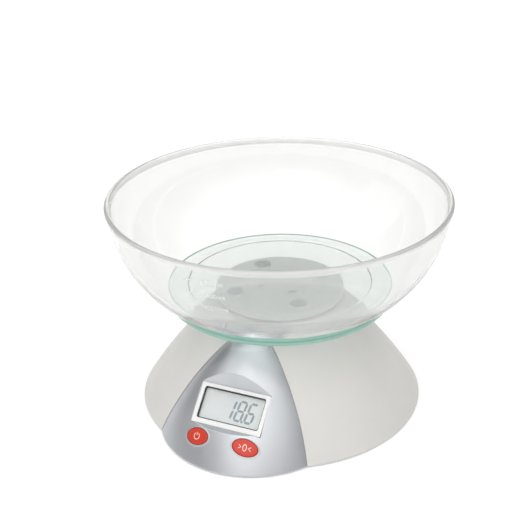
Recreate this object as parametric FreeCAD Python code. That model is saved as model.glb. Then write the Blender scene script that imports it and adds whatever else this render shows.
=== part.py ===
"""Electronic kitchen scale: dome housing, silver front panel, glass plate and lift-off measuring bowl.

Millimetres, +Z up.  The origin is on the table under the centre of the round plate, and the display
faces -Y.  Every piece is a separate solid; identical small pieces share one node.
"""
import FreeCAD, Part
import math
import os

from FreeCAD import Placement, Rotation, Vector

# ------------------------------------------------------------------ heights above the table
FOOT_STAND = 1.5            # the housing's lower edge clears the table by this much
COVER_THICKNESS = 2.5
PLATE_UNDERSIDE_Z = 82.5
PLATE_THICKNESS = 5.0
BOWL_HEIGHT = 68.6           # from the plate to the rim

# ------------------------------------------------------------------ housing and front panel
WALL = 2.4
DOME_FOOT_R = 102.7
DOME_SHOULDER_R = 50.0
DOME_SHOULDER_Z = 67.5
DOME_BULGE = 2.6            # how far the dome's flank stands out from its straight chord
DECK_FLAT_R = 42.0
DECK_Z = 74.0
PANEL_SETBACK = 49.5        # from the dome's axis forward to the panel's own axis
PANEL_PROUD = 13.2          # how far the panel's foot stands out in front of the dome's
PANEL_TIP_R = 14.4
PANEL_TIP_Z = 66.0
PANEL_CROWN = 3.2           # the rounded tip rises this much above PANEL_TIP_Z
PANEL_BULGE = 3.42
SEAM_GAP = 0.15
LIP_THICKNESS = 1.8         # hidden lip that carries the panel behind the dome's edge
LIP_REACH = 5.0
FIT_GAP = 0.3

# ------------------------------------------------------------------ display and buttons
DISPLAY_TILT = 43.0         # degrees, from the table to the display's face
BEZEL_SINK = 0.3475         # the bezel's face is this far behind the panel's surface at its sides
DISPLAY_Z = 33.7
WINDOW_WIDTH = 45.5
WINDOW_HEIGHT = 22.4
WINDOW_CORNER_R = 1.5
BEZEL_SIDE = 2.75           # frame width left and right of the window
BEZEL_ABOVE = 2.6
BEZEL_BELOW = 3.4
BEZEL_THICKNESS = 3.0
BEZEL_FLANGE = 1.6
BEZEL_FLANGE_DEPTH = 2.0
BEZEL_GAP = 0.15
LENS_LAP = 1.0              # the lens and its gasket reach this far under the bezel
LENS_INSET = 0.8
LENS_THICKNESS = 1.2
GASKET_THICKNESS = 1.0
LCD_LAP = 1.6
LCD_THICKNESS = 2.4
DIFFUSER_THICKNESS = 0.8
BOARD_DEPTH = 9.5           # from the display's face down to the board's top
BOARD_THICKNESS = 1.6
BOARD_SIDE = 4.25           # the board reaches past the window by this much on each side
BOARD_ABOVE = 11.4          # and by this much above it
BOARD_BELOW_BUTTONS = 4.2
BUTTON_SPACING = 35.4
BUTTON_DROP = 12.6          # below the window, along the display's face
BUTTON_HALF_WIDTH = 8.5
BUTTON_HALF_HEIGHT = 5.4
BUTTON_PROUD = 0.7
BUTTON_GAP = 0.35
BUTTON_FLANGE = 1.1
BUTTON_FLANGE_DEPTH = 4.2
BUTTON_FLANGE_THICKNESS = 1.2
BUTTON_RING_WIDTH = 0.9
BUTTON_RING_PROUD = 0.35
SWITCH_SIZE = 6.0
SWITCH_HEIGHT = 3.2
PLUNGER_R = 1.7
PLUNGER_TRAVEL = 0.6
PLUNGER_CLEARANCE = 0.05

# ------------------------------------------------------------------ load cell and hub
CELL_LENGTH = 80.0
CELL_SECTION = 12.7
CELL_HOLE_FROM_END = 5.0
CELL_HOLE_PITCH = 10.0
CELL_WEB_HOLE_R = 4.6
CELL_WEB_HOLE_SPACING = 15.0
POTTING_THICKNESS = 1.0
PEDESTAL_HEIGHT = 20.0
SPACER_THICKNESS = 3.0
CELL_SCREW_R = 2.0
CELL_SCREW_HEAD_R = 3.6
CELL_SCREW_HEAD_HEIGHT = 2.6
OVERLOAD_GAP = 1.0
HUB_FOOT_HEIGHT = 2.5
HUB_ARM_THICKNESS = 5.0
HUB_TUBE_R = 21.0
HUB_TUBE_WALL = 2.6
HUB_OPENING_GAP = 3.0       # between the tube and the deck's round opening
CARRIER_R = 46.0
CARRIER_THICKNESS = 3.0
CARRIER_SKIRT_DEPTH = 2.0
CARRIER_SKIRT_WALL = 2.0
CARRIER_SCREW_CIRCLE_R = 14.6
CARRIER_SCREW_R = 1.5
CARRIER_SCREW_HEAD_R = 3.0
PAD_R = 6.0
PAD_THICKNESS = 2.0
PAD_RECESS = 0.5
PAD_CIRCLE_R = 34.0

# ------------------------------------------------------------------ plate and bowl
PLATE_R = 81.0
PLATE_EDGE_CHAMFER = 0.7
BOWL_RIM_R = 120.0
BOWL_WALL = 2.6
BOWL_FLAT_R = 74.0
BOWL_CORNER_R = 89.9        # radius and height where the floor's curve meets the side
BOWL_CORNER_HEIGHT = 6.0
BOWL_NECK_OVERHANG = 1.9    # the bead stands out past the neck by this much
BOWL_NECK_DROP = 4.6        # from the rim down to the underside of its bead
BOWL_SIDE_BULGE = 6.4
BOWL_FLOOR_ARCH = 0.0706    # rise of the curve from floor to side over its chord, as a share of it
BOWL_INNER_ARCH = 0.11      # the same on the inside
BOWL_FOOT_RING = 8.0
BOWL_FOOT_RECESS = 0.8
BOWL_FOOT_CHAMFER = 0.4
BOWL_BEAD_CHAMFER = 0.6
BOWL_BEAD_THICKNESS = 3.6

# ------------------------------------------------------------------ base cover, feet and fasteners
FOOT_R = 8.0
FOOT_HEIGHT = 2.3
FOOT_INSET = 22.7           # from the dome's lower edge in to a foot's centre
FOOT_ANGLES = (35.0, 145.0, 230.0, 310.0)
BOSS_R = 3.4
DOME_BOSS_INSET = 16.7
DOME_BOSS_ANGLES = (0.0, 60.0, 120.0, 180.0)
PANEL_BOSS_INSET = 14.5
PANEL_BOSS_ANGLES = (216.0, 324.0)
COVER_SCREW_R = 1.5
COVER_SCREW_HEAD_R = 2.9
COVER_SCREW_HEAD_HEIGHT = 1.1
COVER_SCREW_LENGTH = 11.0
BOARD_SCREW_R = 1.0
BOARD_SCREW_HEAD_R = 2.0
BOARD_SCREW_HEAD_HEIGHT = 1.2
BOARD_SCREW_LENGTH = 6.0
BOARD_BOSS_R = 2.8
BOARD_SCREW_SIDE = 4.5      # the upper screws' distance in from the board's sides
BOARD_SCREW_DOWN = 3.8      # and down from its upper edge
BOARD_SCREW_UP = 6.0        # the lower screw's distance up from its lower edge

# ------------------------------------------------------------------ batteries (two AAA cells)
CELL_BATTERY_R = 5.25
CELL_BATTERY_LENGTH = 44.5
BATTERY_NUB_R = 1.9
BATTERY_NUB_LENGTH = 1.0
BATTERY_PITCH = 11.5
BATTERY_INSET = 40.7        # from the dome's lower edge in to the middle of the batteries
BATTERY_SIDE_GAP = 1.0      # beside the cells, in the compartment
SPRING_ROOM = 6.7           # beyond the cells, for the springs
BATTERY_BOX_WALL = 1.6
BATTERY_HEADROOM = 0.5
CONTACT_THICKNESS = 0.4
CONTACT_SIZE = 8.6
CONTACT_TAB_WIDTH = 4.0
CONTACT_TAB_RISE = 3.0      # above the battery box
SPRING_R = 2.9
SPRING_WIRE_R = 0.4
SPRING_TURNS = 3.5
SPRING_WIRE_SIDES = 12      # the wire is drawn with a many-sided section
DOOR_THICKNESS = 1.8
DOOR_LEDGE = 2.0            # the door laps the battery box by this much all round
DOOR_GAP = 0.3
HINGE_PIN_R = 0.9
HINGE_PIN_REACH = 2.0
HINGE_CLEARANCE = 0.05
NOTCH_R = 6.0

# ------------------------------------------------------------------ leads
BATTERY_LEAD_R = 0.6
CELL_LEAD_R = 0.45
CELL_LEAD_PITCH = 2.4

# ------------------------------------------------------------------ sizes worked out from the above
PANEL_FOOT_R = DOME_FOOT_R + PANEL_PROUD - PANEL_SETBACK
FOOT_CIRCLE_R = DOME_FOOT_R - FOOT_INSET
DOME_BOSS_CIRCLE_R = DOME_FOOT_R - DOME_BOSS_INSET
PANEL_BOSS_CIRCLE_R = PANEL_FOOT_R - PANEL_BOSS_INSET
BOWL_NECK_R = BOWL_RIM_R - BOWL_NECK_OVERHANG
COVER_TOP_Z = FOOT_STAND + COVER_THICKNESS
PEDESTAL_TOP_Z = COVER_TOP_Z + PEDESTAL_HEIGHT
CELL_BOTTOM_Z = PEDESTAL_TOP_Z + SPACER_THICKNESS
CELL_TOP_Z = CELL_BOTTOM_Z + CELL_SECTION
HUB_ARM_Z = CELL_TOP_Z + HUB_FOOT_HEIGHT
HUB_ARM_TOP_Z = HUB_ARM_Z + HUB_ARM_THICKNESS
CARRIER_TOP_Z = PLATE_UNDERSIDE_Z - PAD_THICKNESS + PAD_RECESS
CARRIER_UNDERSIDE_Z = CARRIER_TOP_Z - CARRIER_THICKNESS
PLATE_TOP_Z = PLATE_UNDERSIDE_Z + PLATE_THICKNESS
BOWL_RIM_Z = PLATE_TOP_Z + BOWL_HEIGHT
CELL_HOLE_XS = (CELL_LENGTH / 2 - CELL_HOLE_FROM_END - CELL_HOLE_PITCH, CELL_LENGTH / 2 - CELL_HOLE_FROM_END)
DOOR_TOP_Z = FOOT_STAND + DOOR_THICKNESS
BATTERY_AXIS_Z = DOOR_TOP_Z + DOOR_GAP + CELL_BATTERY_R
BATTERY_CEILING_Z = BATTERY_AXIS_Z + CELL_BATTERY_R + BATTERY_HEADROOM
BATTERY_BOX_TOP_Z = BATTERY_CEILING_Z + BATTERY_BOX_WALL
BATTERY_Y = DOME_FOOT_R - BATTERY_INSET
BATTERY_BOX_LENGTH = CELL_BATTERY_LENGTH + 2 * CONTACT_THICKNESS + SPRING_ROOM
BATTERY_BOX_WIDTH = BATTERY_PITCH + 2 * CELL_BATTERY_R + 2 * BATTERY_SIDE_GAP
HIGH = 200.0                # beyond the top of every piece, for cutting volumes

# in display-face coordinates: X across, Y up along the face, Z out of the face
BEZEL_TOP = WINDOW_HEIGHT / 2 + BEZEL_ABOVE
BEZEL_BOTTOM = -WINDOW_HEIGHT / 2 - BEZEL_BELOW
BEZEL_HALF_WIDTH = WINDOW_WIDTH / 2 + BEZEL_SIDE
SWITCH_TOP = -BOARD_DEPTH + SWITCH_HEIGHT
BUTTON_BOTTOM = -BUTTON_FLANGE_DEPTH - BUTTON_FLANGE_THICKNESS
LCD_TOP = -LENS_INSET - LENS_THICKNESS - GASKET_THICKNESS
BUTTON_Y = -WINDOW_HEIGHT / 2 - BUTTON_DROP
BOARD_HALF_WIDTH = WINDOW_WIDTH / 2 + BOARD_SIDE
BOARD_TOP = WINDOW_HEIGHT / 2 + BOARD_ABOVE
BOARD_BOTTOM = BUTTON_Y - BOARD_BELOW_BUTTONS


# ================================================================== shape helpers
def block(x_range, y_range, z_range):
    """Box between two x, two y and two z values."""
    size = [pair[1] - pair[0] for pair in (x_range, y_range, z_range)]
    return Part.makeBox(*size, Vector(x_range[0], y_range[0], z_range[0]))


def rod(radius, z_range, x=0.0, y=0.0):
    """Upright cylinder between two heights."""
    return Part.makeCylinder(radius, z_range[1] - z_range[0], Vector(x, y, z_range[0]))


def polar(radius, angle):
    """Point on a circle about the origin, as an (x, y) pair."""
    return radius * math.cos(math.radians(angle)), radius * math.sin(math.radians(angle))


def rounded_block(half_width, y_range, z_range, radius):
    """Box centred on x = 0 with its four upright edges rounded."""
    shape = block((-half_width, half_width), y_range, z_range)
    upright = [edge for edge in shape.Edges if abs(edge.tangentAt(edge.FirstParameter).z) > 0.99]
    return shape.makeFillet(radius, upright)


def ellipse_prism(half_width, half_height, z_range, x, y):
    """Upright prism with an oval outline."""
    outline = Part.Ellipse(Vector(x, y, z_range[0]), half_width, half_height).toShape()
    return Part.Face(Part.Wire(outline)).extrude(Vector(0, 0, z_range[1] - z_range[0]))


def on_display(shape):
    """Moves a shape drawn in display-face coordinates to its place on the scale."""
    shape.Placement = DISPLAY_FRAME.multiply(shape.Placement)
    return shape


def compound(shapes):
    """Group of separate solids that share a node."""
    return Part.makeCompound([solid for shape in shapes for solid in shape.Solids])


def fused(first, *others):
    """One solid from several that overlap."""
    return first.fuse(list(others)).removeSplitter()


def bulged_middle(start, end, share):
    """Middle point of an arc from start to end that bulges to its right by a share of the chord."""
    dr, dz = end[0] - start[0], end[1] - start[1]
    return (start[0] + end[0]) / 2 + share * dz, (start[1] + end[1]) / 2 - share * dr


def cap_arc(start, rise):
    """Arc step from a point up to the axis, part of a circle centred on the axis."""
    radius = (start[0] ** 2 + rise ** 2) / (2 * rise)
    centre_z = start[1] + rise - radius
    half_angle = math.asin(start[0] / radius) / 2
    return (radius * math.sin(half_angle), centre_z + radius * math.cos(half_angle)), (0.0, start[1] + rise)


def revolved(start, steps, axis_y=0.0):
    """Solid of revolution about an upright axis.

    start is an (r, z) point.  Each step is the next point, or a pair of a middle point and an end
    point for an arc.  The outline closes itself with a straight line.
    """
    edges = []
    here = start
    for step in steps:
        arc = isinstance(step[0], tuple)
        end = step[1] if arc else step
        points = [Vector(r, 0, z) for r, z in ((here, step[0], end) if arc else (here, end))]
        edges.append(Part.Arc(*points).toShape() if arc else Part.LineSegment(*points).toShape())
        here = end
    edges.append(Part.LineSegment(Vector(here[0], 0, here[1]), Vector(start[0], 0, start[1])).toShape())
    solid = Part.Face(Part.Wire(edges)).revolve(Vector(0, 0, 0), Vector(0, 0, 1), 360)
    solid.translate(Vector(0, axis_y, 0))
    return solid


class Flank:
    """Convex side of a round body: one arc from its foot to its top, drawn in (r, z)."""

    def __init__(self, foot, top, bulge):
        chord_r, chord_z = top[0] - foot[0], top[1] - foot[1]
        chord = math.hypot(chord_r, chord_z)
        self.radius = chord * chord / (8 * bulge) + bulge / 2
        inward = self.radius - bulge
        self.centre_r = (foot[0] + top[0]) / 2 - inward * chord_z / chord
        self.centre_z = (foot[1] + top[1]) / 2 + inward * chord_r / chord

    def r_at(self, z, inset=0.0):
        """Radius of the body at a height, with its surface moved inward by inset."""
        return self.centre_r + math.sqrt((self.radius - inset) ** 2 - (z - self.centre_z) ** 2)

    def point(self, z, inset=0.0):
        """Outline point at a height."""
        return self.r_at(z, inset), z

    def arc(self, z_from, z_to, inset=0.0):
        """Arc step of an outline, between two heights."""
        return self.point((z_from + z_to) / 2, inset), self.point(z_to, inset)


DOME = Flank((DOME_FOOT_R, FOOT_STAND), (DOME_SHOULDER_R, DOME_SHOULDER_Z), DOME_BULGE)
PANEL = Flank((PANEL_FOOT_R, FOOT_STAND), (PANEL_TIP_R, PANEL_TIP_Z), PANEL_BULGE)
DISPLAY_Y = -PANEL_SETBACK - math.sqrt(PANEL.r_at(DISPLAY_Z) ** 2 - BEZEL_HALF_WIDTH ** 2) + BEZEL_SINK
DISPLAY_FRAME = Placement(Vector(0, DISPLAY_Y, DISPLAY_Z), Rotation(Vector(1, 0, 0), DISPLAY_TILT))


def dome_body(inset=0.0, floor_z=FOOT_STAND):
    """Solid inside the dome's outer surface, with that surface moved inward by inset."""
    shoulder = DOME.point(DOME_SHOULDER_Z - inset / 2, inset)
    deck = (DECK_FLAT_R, DECK_Z - inset)
    steps = [
        DOME.point(floor_z, inset),
        DOME.arc(floor_z, shoulder[1], inset),
        (bulged_middle(shoulder, deck, 0.16), deck),
        (0.0, deck[1]),
    ]
    return revolved((0.0, floor_z), steps)


def panel_body(inset=0.0, floor_z=FOOT_STAND):
    """Solid inside the front panel's outer surface, a narrower dome set forward of the main one."""
    tip = PANEL.point(PANEL_TIP_Z - inset, inset)
    steps = [
        PANEL.point(floor_z, inset),
        PANEL.arc(floor_z, tip[1], inset),
        cap_arc(tip, PANEL_CROWN),
    ]
    return revolved((0.0, floor_z), steps, axis_y=-PANEL_SETBACK)


def recess_volume(half_width, setback=0.0):
    """Space in front of the upright wall, tilted face and level ledge of the display recess.

    setback moves all three faces back into the panel.
    """
    upper = DISPLAY_FRAME.multVec(Vector(0, BEZEL_TOP, 0))
    lower = DISPLAY_FRAME.multVec(Vector(0, BEZEL_BOTTOM, 0))
    slope = math.tan(math.radians(DISPLAY_TILT))
    drop = setback / math.cos(math.radians(DISPLAY_TILT))
    wall_y = upper.y + setback
    ledge_z = lower.z - setback
    wall_foot_z = upper.z + setback * slope - drop
    ledge_back_y = lower.y - (setback - drop) / slope
    corners = [
        (wall_y, HIGH),
        (wall_y, wall_foot_z),
        (ledge_back_y, ledge_z),
        (-HIGH, ledge_z),
        (-HIGH, HIGH),
        (wall_y, HIGH),
    ]
    outline = Part.makePolygon([Vector(-half_width, y, z) for y, z in corners])
    return Part.Face(outline).extrude(Vector(2 * half_width, 0, 0))


# ================================================================== base cover
def cover_plan(grow=0.0, z_range=(FOOT_STAND, COVER_TOP_Z)):
    """Disc under the dome joined to the disc under the front panel."""
    dome_r = DOME.r_at(COVER_TOP_Z, WALL) - FIT_GAP + grow
    panel_r = PANEL.r_at(COVER_TOP_Z, WALL) - FIT_GAP + grow
    return fused(rod(dome_r, z_range), rod(panel_r, z_range, 0, -PANEL_SETBACK))


def cover_screw_points():
    """Places of the screws that hold the cover to the dome and to the front panel."""
    points = [polar(DOME_BOSS_CIRCLE_R, angle) for angle in DOME_BOSS_ANGLES]
    front = [polar(PANEL_BOSS_CIRCLE_R, angle) for angle in PANEL_BOSS_ANGLES]
    return points + [(x, y - PANEL_SETBACK) for x, y in front]


def battery_box():
    """Outside of the battery compartment above the cover."""
    half_length = BATTERY_BOX_LENGTH / 2 + BATTERY_BOX_WALL
    half_width = BATTERY_BOX_WIDTH / 2 + BATTERY_BOX_WALL
    y_range = (BATTERY_Y - half_width, BATTERY_Y + half_width)
    return block((-half_length, half_length), y_range, (FOOT_STAND, BATTERY_BOX_TOP_Z))


def contact_tab_slots():
    """Slots in the box's ceiling for the two contact tabs."""
    low_x = -BATTERY_BOX_LENGTH / 2
    x_range = (low_x, low_x + CONTACT_THICKNESS + FIT_GAP)
    slots = []
    for side in (-1, 1):
        middle = BATTERY_Y + side * BATTERY_PITCH / 2
        half = CONTACT_TAB_WIDTH / 2 + FIT_GAP
        slots.append(block(x_range, (middle - half, middle + half), (BATTERY_AXIS_Z, HIGH)))
    return slots


def door_half_length():
    """Half of the door along X."""
    return BATTERY_BOX_LENGTH / 2 + DOOR_LEDGE


def hinge_y():
    """Y of the battery door's hinge axis, on the side towards the middle of the scale."""
    return BATTERY_Y - BATTERY_BOX_WIDTH / 2 - DOOR_LEDGE + HINGE_PIN_R


def hinge_z():
    """Height of the battery door's hinge axis."""
    return FOOT_STAND + DOOR_THICKNESS / 2


def base_cover():
    """Underside of the scale: plate, pedestal, overload post, battery box and its screw and foot seats."""
    cell_x = CELL_LENGTH / 2 - CELL_HOLE_FROM_END - CELL_HOLE_PITCH / 2
    pedestal_half = CELL_HOLE_PITCH / 2 + CELL_SCREW_HEAD_R + BATTERY_BOX_WALL + 3.0
    pedestal = block((-cell_x - pedestal_half, -cell_x + pedestal_half), (-CELL_SECTION, CELL_SECTION),
                     (FOOT_STAND, PEDESTAL_TOP_Z))
    post = rod(CELL_SECTION / 2, (FOOT_STAND, CELL_BOTTOM_Z - OVERLOAD_GAP), cell_x)
    cover = fused(cover_plan(), pedestal, post, battery_box())

    cuts = []
    for x in CELL_HOLE_XS:
        cuts.append(rod(CELL_SCREW_R + 0.2, (0, HIGH), -x))
        cuts.append(rod(CELL_SCREW_HEAD_R + FIT_GAP, (0, PEDESTAL_TOP_Z - 4.0), -x))
    for x, y in cover_screw_points():
        cuts.append(rod(COVER_SCREW_R + 0.2, (0, HIGH), x, y))
        cuts.append(rod(COVER_SCREW_HEAD_R + FIT_GAP, (0, FOOT_STAND + COVER_SCREW_HEAD_HEIGHT + 0.2), x, y))
    for angle in FOOT_ANGLES:
        x, y = polar(FOOT_CIRCLE_R, angle)
        cuts.append(rod(FOOT_R, (0, FOOT_HEIGHT), x, y))

    inside_x = BATTERY_BOX_LENGTH / 2
    inside_y = (BATTERY_Y - BATTERY_BOX_WIDTH / 2, BATTERY_Y + BATTERY_BOX_WIDTH / 2)
    cuts.append(block((-inside_x, inside_x), inside_y, (0, BATTERY_CEILING_Z)))
    seat_x = door_half_length() + DOOR_GAP
    seat_y = (inside_y[0] - DOOR_LEDGE - DOOR_GAP, inside_y[1] + DOOR_LEDGE + DOOR_GAP)
    cuts.append(block((-seat_x, seat_x), seat_y, (0, DOOR_TOP_Z + DOOR_GAP / 2)))
    pin_reach = seat_x + HINGE_PIN_REACH
    pin_start = Vector(-pin_reach, hinge_y(), hinge_z())
    cuts.append(Part.makeCylinder(HINGE_PIN_R + HINGE_CLEARANCE, 2 * pin_reach, pin_start, Vector(1, 0, 0)))
    cuts.append(rod(NOTCH_R, (0, FOOT_STAND + 1.4), 0, seat_y[1]))
    cuts.extend(contact_tab_slots())
    return cover.cut(cuts)


def rubber_feet():
    """Four round feet, set into seats of the cover."""
    feet = []
    for angle in FOOT_ANGLES:
        x, y = polar(FOOT_CIRCLE_R, angle)
        foot = rod(FOOT_R, (0, FOOT_HEIGHT), x, y)
        lower_edge = [edge for edge in foot.Edges if abs(edge.BoundBox.ZMax) < 1e-6]
        feet.append(foot.makeChamfer(0.4, lower_edge))
    return compound(feet)


def cover_screws():
    """Screws from below into the bosses of the dome and the front panel."""
    head_top = FOOT_STAND + COVER_SCREW_HEAD_HEIGHT + 0.2
    screws = []
    for x, y in cover_screw_points():
        head = rod(COVER_SCREW_HEAD_R, (FOOT_STAND + 0.2, head_top), x, y)
        shank = rod(COVER_SCREW_R, (FOOT_STAND + 0.2, head_top + COVER_SCREW_LENGTH), x, y)
        screw = fused(head, shank)
        slots = []
        for across, along in ((2.0, 0.35), (0.35, 2.0)):
            x_range = (x - across, x + across)
            slots.append(block(x_range, (y - along, y + along), (0, FOOT_STAND + 0.9)))
        screws.append(screw.cut(slots))
    return compound(screws)


def screw_bosses(points, body):
    """Bosses that rise from the cover until they meet the wall above, with their pilot holes."""
    depth = COVER_TOP_Z + COVER_SCREW_LENGTH
    bosses = [rod(BOSS_R, (COVER_TOP_Z, HIGH / 4), x, y).common(body) for x, y in points]
    pilots = [rod(COVER_SCREW_R, (0, depth), x, y) for x, y in points]
    return bosses, pilots


# ================================================================== housing
def dome_housing():
    """White dome, open below, with the front cut out for the panel and a round opening for the hub."""
    shell = dome_body().cut(dome_body(WALL, floor_z=0.0))
    bosses, pilots = screw_bosses(cover_screw_points()[:len(DOME_BOSS_ANGLES)], dome_body(WALL / 2))
    shell = fused(shell, *bosses)
    opening = rod(HUB_TUBE_R + HUB_OPENING_GAP, (DOME_SHOULDER_Z, HIGH))
    clear_of_cover = cover_plan(FIT_GAP, (0, COVER_TOP_Z))
    return shell.cut([panel_body(-SEAM_GAP, floor_z=0.0), opening, clear_of_cover] + pilots)


def button_centres():
    """Places of the power and tare buttons in display-face coordinates."""
    return [(side * BUTTON_SPACING / 2, BUTTON_Y) for side in (-1, 1)]


def board_screw_points():
    """Places of the board's screws in display-face coordinates."""
    x, y = BOARD_HALF_WIDTH - BOARD_SCREW_SIDE, BOARD_TOP - BOARD_SCREW_DOWN
    return [(-x, y), (x, y), (0.0, BOARD_BOTTOM + BOARD_SCREW_UP)]


def front_panel():
    """Silver panel: narrow dome with the display recess, button openings, hidden lip and board bosses."""
    half_width = BEZEL_HALF_WIDTH + BEZEL_GAP
    recess = recess_volume(half_width)
    hollow = panel_body(WALL, floor_z=0.0).cut(recess_volume(half_width + WALL, WALL))
    body = panel_body().cut(recess)

    behind_dome = dome_body(WALL + SEAM_GAP)
    lip_inside = dome_body(WALL + SEAM_GAP + LIP_THICKNESS)
    lip = behind_dome.cut(lip_inside).common(panel_body(-LIP_REACH)).cut(panel_body(WALL / 2))
    lip = lip.common(block((-HIGH, HIGH), (-HIGH, -DECK_FLAT_R), (0, DOME_SHOULDER_Z)))
    shell = body.cut([hollow, lip_inside])

    board_top = -BOARD_DEPTH
    board_bosses = []
    for x, y in board_screw_points():
        boss = on_display(rod(BOARD_BOSS_R, (board_top, HIGH / 4), x, y))
        board_bosses.append(boss.common(panel_body(WALL / 2)).cut(recess_volume(half_width, WALL / 2)))
    panel_bosses, pilots = screw_bosses(cover_screw_points()[len(DOME_BOSS_ANGLES):], panel_body(WALL / 2))

    rings = []
    for x, y in button_centres():
        ring_width = BUTTON_GAP + BUTTON_RING_WIDTH
        prism = ellipse_prism(BUTTON_HALF_WIDTH + ring_width, BUTTON_HALF_HEIGHT + ring_width,
                              (-BUTTON_FLANGE_DEPTH, HIGH / 4), x, y)
        ring = on_display(prism).common(panel_body(-BUTTON_RING_PROUD)).cut(panel_body(WALL / 2))
        rings.append(ring)
    panel = fused(shell, lip, *board_bosses, *panel_bosses, *rings)

    cuts = [cover_plan(FIT_GAP, (0, COVER_TOP_Z))] + pilots
    frame_y = (BEZEL_BOTTOM - BEZEL_GAP, BEZEL_TOP + BEZEL_GAP)
    cuts.append(on_display(block((-half_width, half_width), frame_y, (-BEZEL_THICKNESS - WALL, HIGH / 4))))
    for x, y in button_centres():
        cuts.append(on_display(ellipse_prism(BUTTON_HALF_WIDTH + BUTTON_GAP, BUTTON_HALF_HEIGHT + BUTTON_GAP,
                                             (-2 * WALL - BUTTON_FLANGE_DEPTH, HIGH / 4), x, y)))
    for x, y in board_screw_points():
        cuts.append(on_display(rod(BOARD_SCREW_R, (board_top - 1.0, board_top + BOARD_SCREW_LENGTH), x, y)))
    return panel.cut(cuts)


# ================================================================== display
def display_bezel():
    """White frame round the window, with a hidden flange behind the panel."""
    plate = rounded_block(BEZEL_HALF_WIDTH, (BEZEL_BOTTOM, BEZEL_TOP), (-BEZEL_THICKNESS, 0), 0.8)
    flange_y = (BEZEL_BOTTOM - BEZEL_FLANGE, BEZEL_TOP + BEZEL_FLANGE)
    flange_z = (-BEZEL_THICKNESS - BEZEL_FLANGE_DEPTH, -BEZEL_THICKNESS)
    flange = block((-BEZEL_HALF_WIDTH - BEZEL_FLANGE, BEZEL_HALF_WIDTH + BEZEL_FLANGE), flange_y, flange_z)
    flange = on_display(flange).common(panel_body(WALL + BEZEL_GAP))
    frame = fused(on_display(plate), flange)

    half_x, half_y = WINDOW_WIDTH / 2, WINDOW_HEIGHT / 2
    window = rounded_block(half_x, (-half_y, half_y), (-HIGH / 4, HIGH / 4), WINDOW_CORNER_R)
    lens_x, lens_y = half_x + LENS_LAP + BEZEL_GAP, half_y + LENS_LAP + BEZEL_GAP
    lens_seat = block((-lens_x, lens_x), (-lens_y, lens_y), (-HIGH / 4, -LENS_INSET))
    lcd_x, lcd_y = half_x + LCD_LAP + BEZEL_GAP, half_y + LCD_LAP + BEZEL_GAP
    lcd_seat = block((-lcd_x, lcd_x), (-lcd_y, lcd_y), (-HIGH / 4, LCD_TOP))
    return frame.cut([on_display(shape) for shape in (window, lens_seat, lcd_seat)])


def display_layer(lap, z_range, narrowing=0.0):
    """Rectangular layer behind the window that reaches past it by lap."""
    half_x = WINDOW_WIDTH / 2 + lap
    half_y = WINDOW_HEIGHT / 2 + lap - narrowing
    return block((-half_x, half_x), (-half_y, half_y), z_range)


def display_window():
    """Clear lens seated from behind."""
    return on_display(display_layer(LENS_LAP, (-LENS_INSET - LENS_THICKNESS, -LENS_INSET)))


def window_gasket():
    """Black frame between the lens and the LCD."""
    z_range = (LCD_TOP, LCD_TOP + GASKET_THICKNESS)
    ring = display_layer(LENS_LAP, z_range)
    return on_display(ring.cut(display_layer(-0.6, (LCD_TOP - 1, 1))))


def lcd_glass():
    """Liquid crystal display."""
    return on_display(display_layer(LCD_LAP, (LCD_TOP - LCD_THICKNESS, LCD_TOP)))


def lcd_diffuser():
    """Light diffuser under the display, narrow enough to leave both rows of contacts free."""
    top = LCD_TOP - LCD_THICKNESS
    return on_display(display_layer(LCD_LAP, (top - DIFFUSER_THICKNESS, top), narrowing=3.4))


def lcd_frame():
    """Frame that stands on the board round the display and its contact strips."""
    z_range = (-BOARD_DEPTH, -BEZEL_THICKNESS - BEZEL_FLANGE_DEPTH - 0.2)
    outside = display_layer(LCD_LAP + 2.2, z_range)
    return on_display(outside.cut(display_layer(LCD_LAP + 0.2, (-HIGH, HIGH))))


def zebra_strips():
    """Rubber contact strips between the board and the display, one along each long side."""
    middle = WINDOW_HEIGHT / 2 + LCD_LAP - 1.6
    half_x = WINDOW_WIDTH / 2
    z_range = (-BOARD_DEPTH, LCD_TOP - LCD_THICKNESS)
    strips = [block((-half_x, half_x), (side * middle - 1.0, side * middle + 1.0), z_range) for side in (-1, 1)]
    return compound([on_display(strip) for strip in strips])


def main_board():
    """Circuit board parallel to the display's face."""
    board = rounded_block(BOARD_HALF_WIDTH, (BOARD_BOTTOM, BOARD_TOP),
                          (-BOARD_DEPTH - BOARD_THICKNESS, -BOARD_DEPTH), 1.5)
    holes = [rod(BOARD_SCREW_R + 0.1, (-HIGH / 4, 0), x, y) for x, y in board_screw_points()]
    return on_display(board.cut(holes))


def board_screws():
    """Screws from behind the board into the front panel's bosses."""
    back = -BOARD_DEPTH - BOARD_THICKNESS
    screws = []
    for x, y in board_screw_points():
        head = rod(BOARD_SCREW_HEAD_R, (back - BOARD_SCREW_HEAD_HEIGHT, back), x, y)
        shank = rod(BOARD_SCREW_R, (back - BOARD_SCREW_HEAD_HEIGHT, -BOARD_DEPTH + BOARD_SCREW_LENGTH), x, y)
        screws.append(on_display(fused(head, shank)))
    return compound(screws)


def controller_chip():
    """Moulded controller on the back of the board."""
    back = -BOARD_DEPTH - BOARD_THICKNESS
    return on_display(rounded_block(7.0, (-3.0, 9.0), (back - 1.8, back), 0.6))


def tact_switches():
    """Switch bodies on the board under the buttons, each with a pocket for its plunger."""
    half = SWITCH_SIZE / 2
    switches = []
    for x, y in button_centres():
        body = block((x - half, x + half), (y - half, y + half), (-BOARD_DEPTH, SWITCH_TOP))
        pocket_floor = SWITCH_TOP - 1.0 - PLUNGER_TRAVEL - FIT_GAP
        switches.append(on_display(body.cut(rod(PLUNGER_R + PLUNGER_CLEARANCE, (pocket_floor, 0), x, y))))
    return compound(switches)


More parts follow.
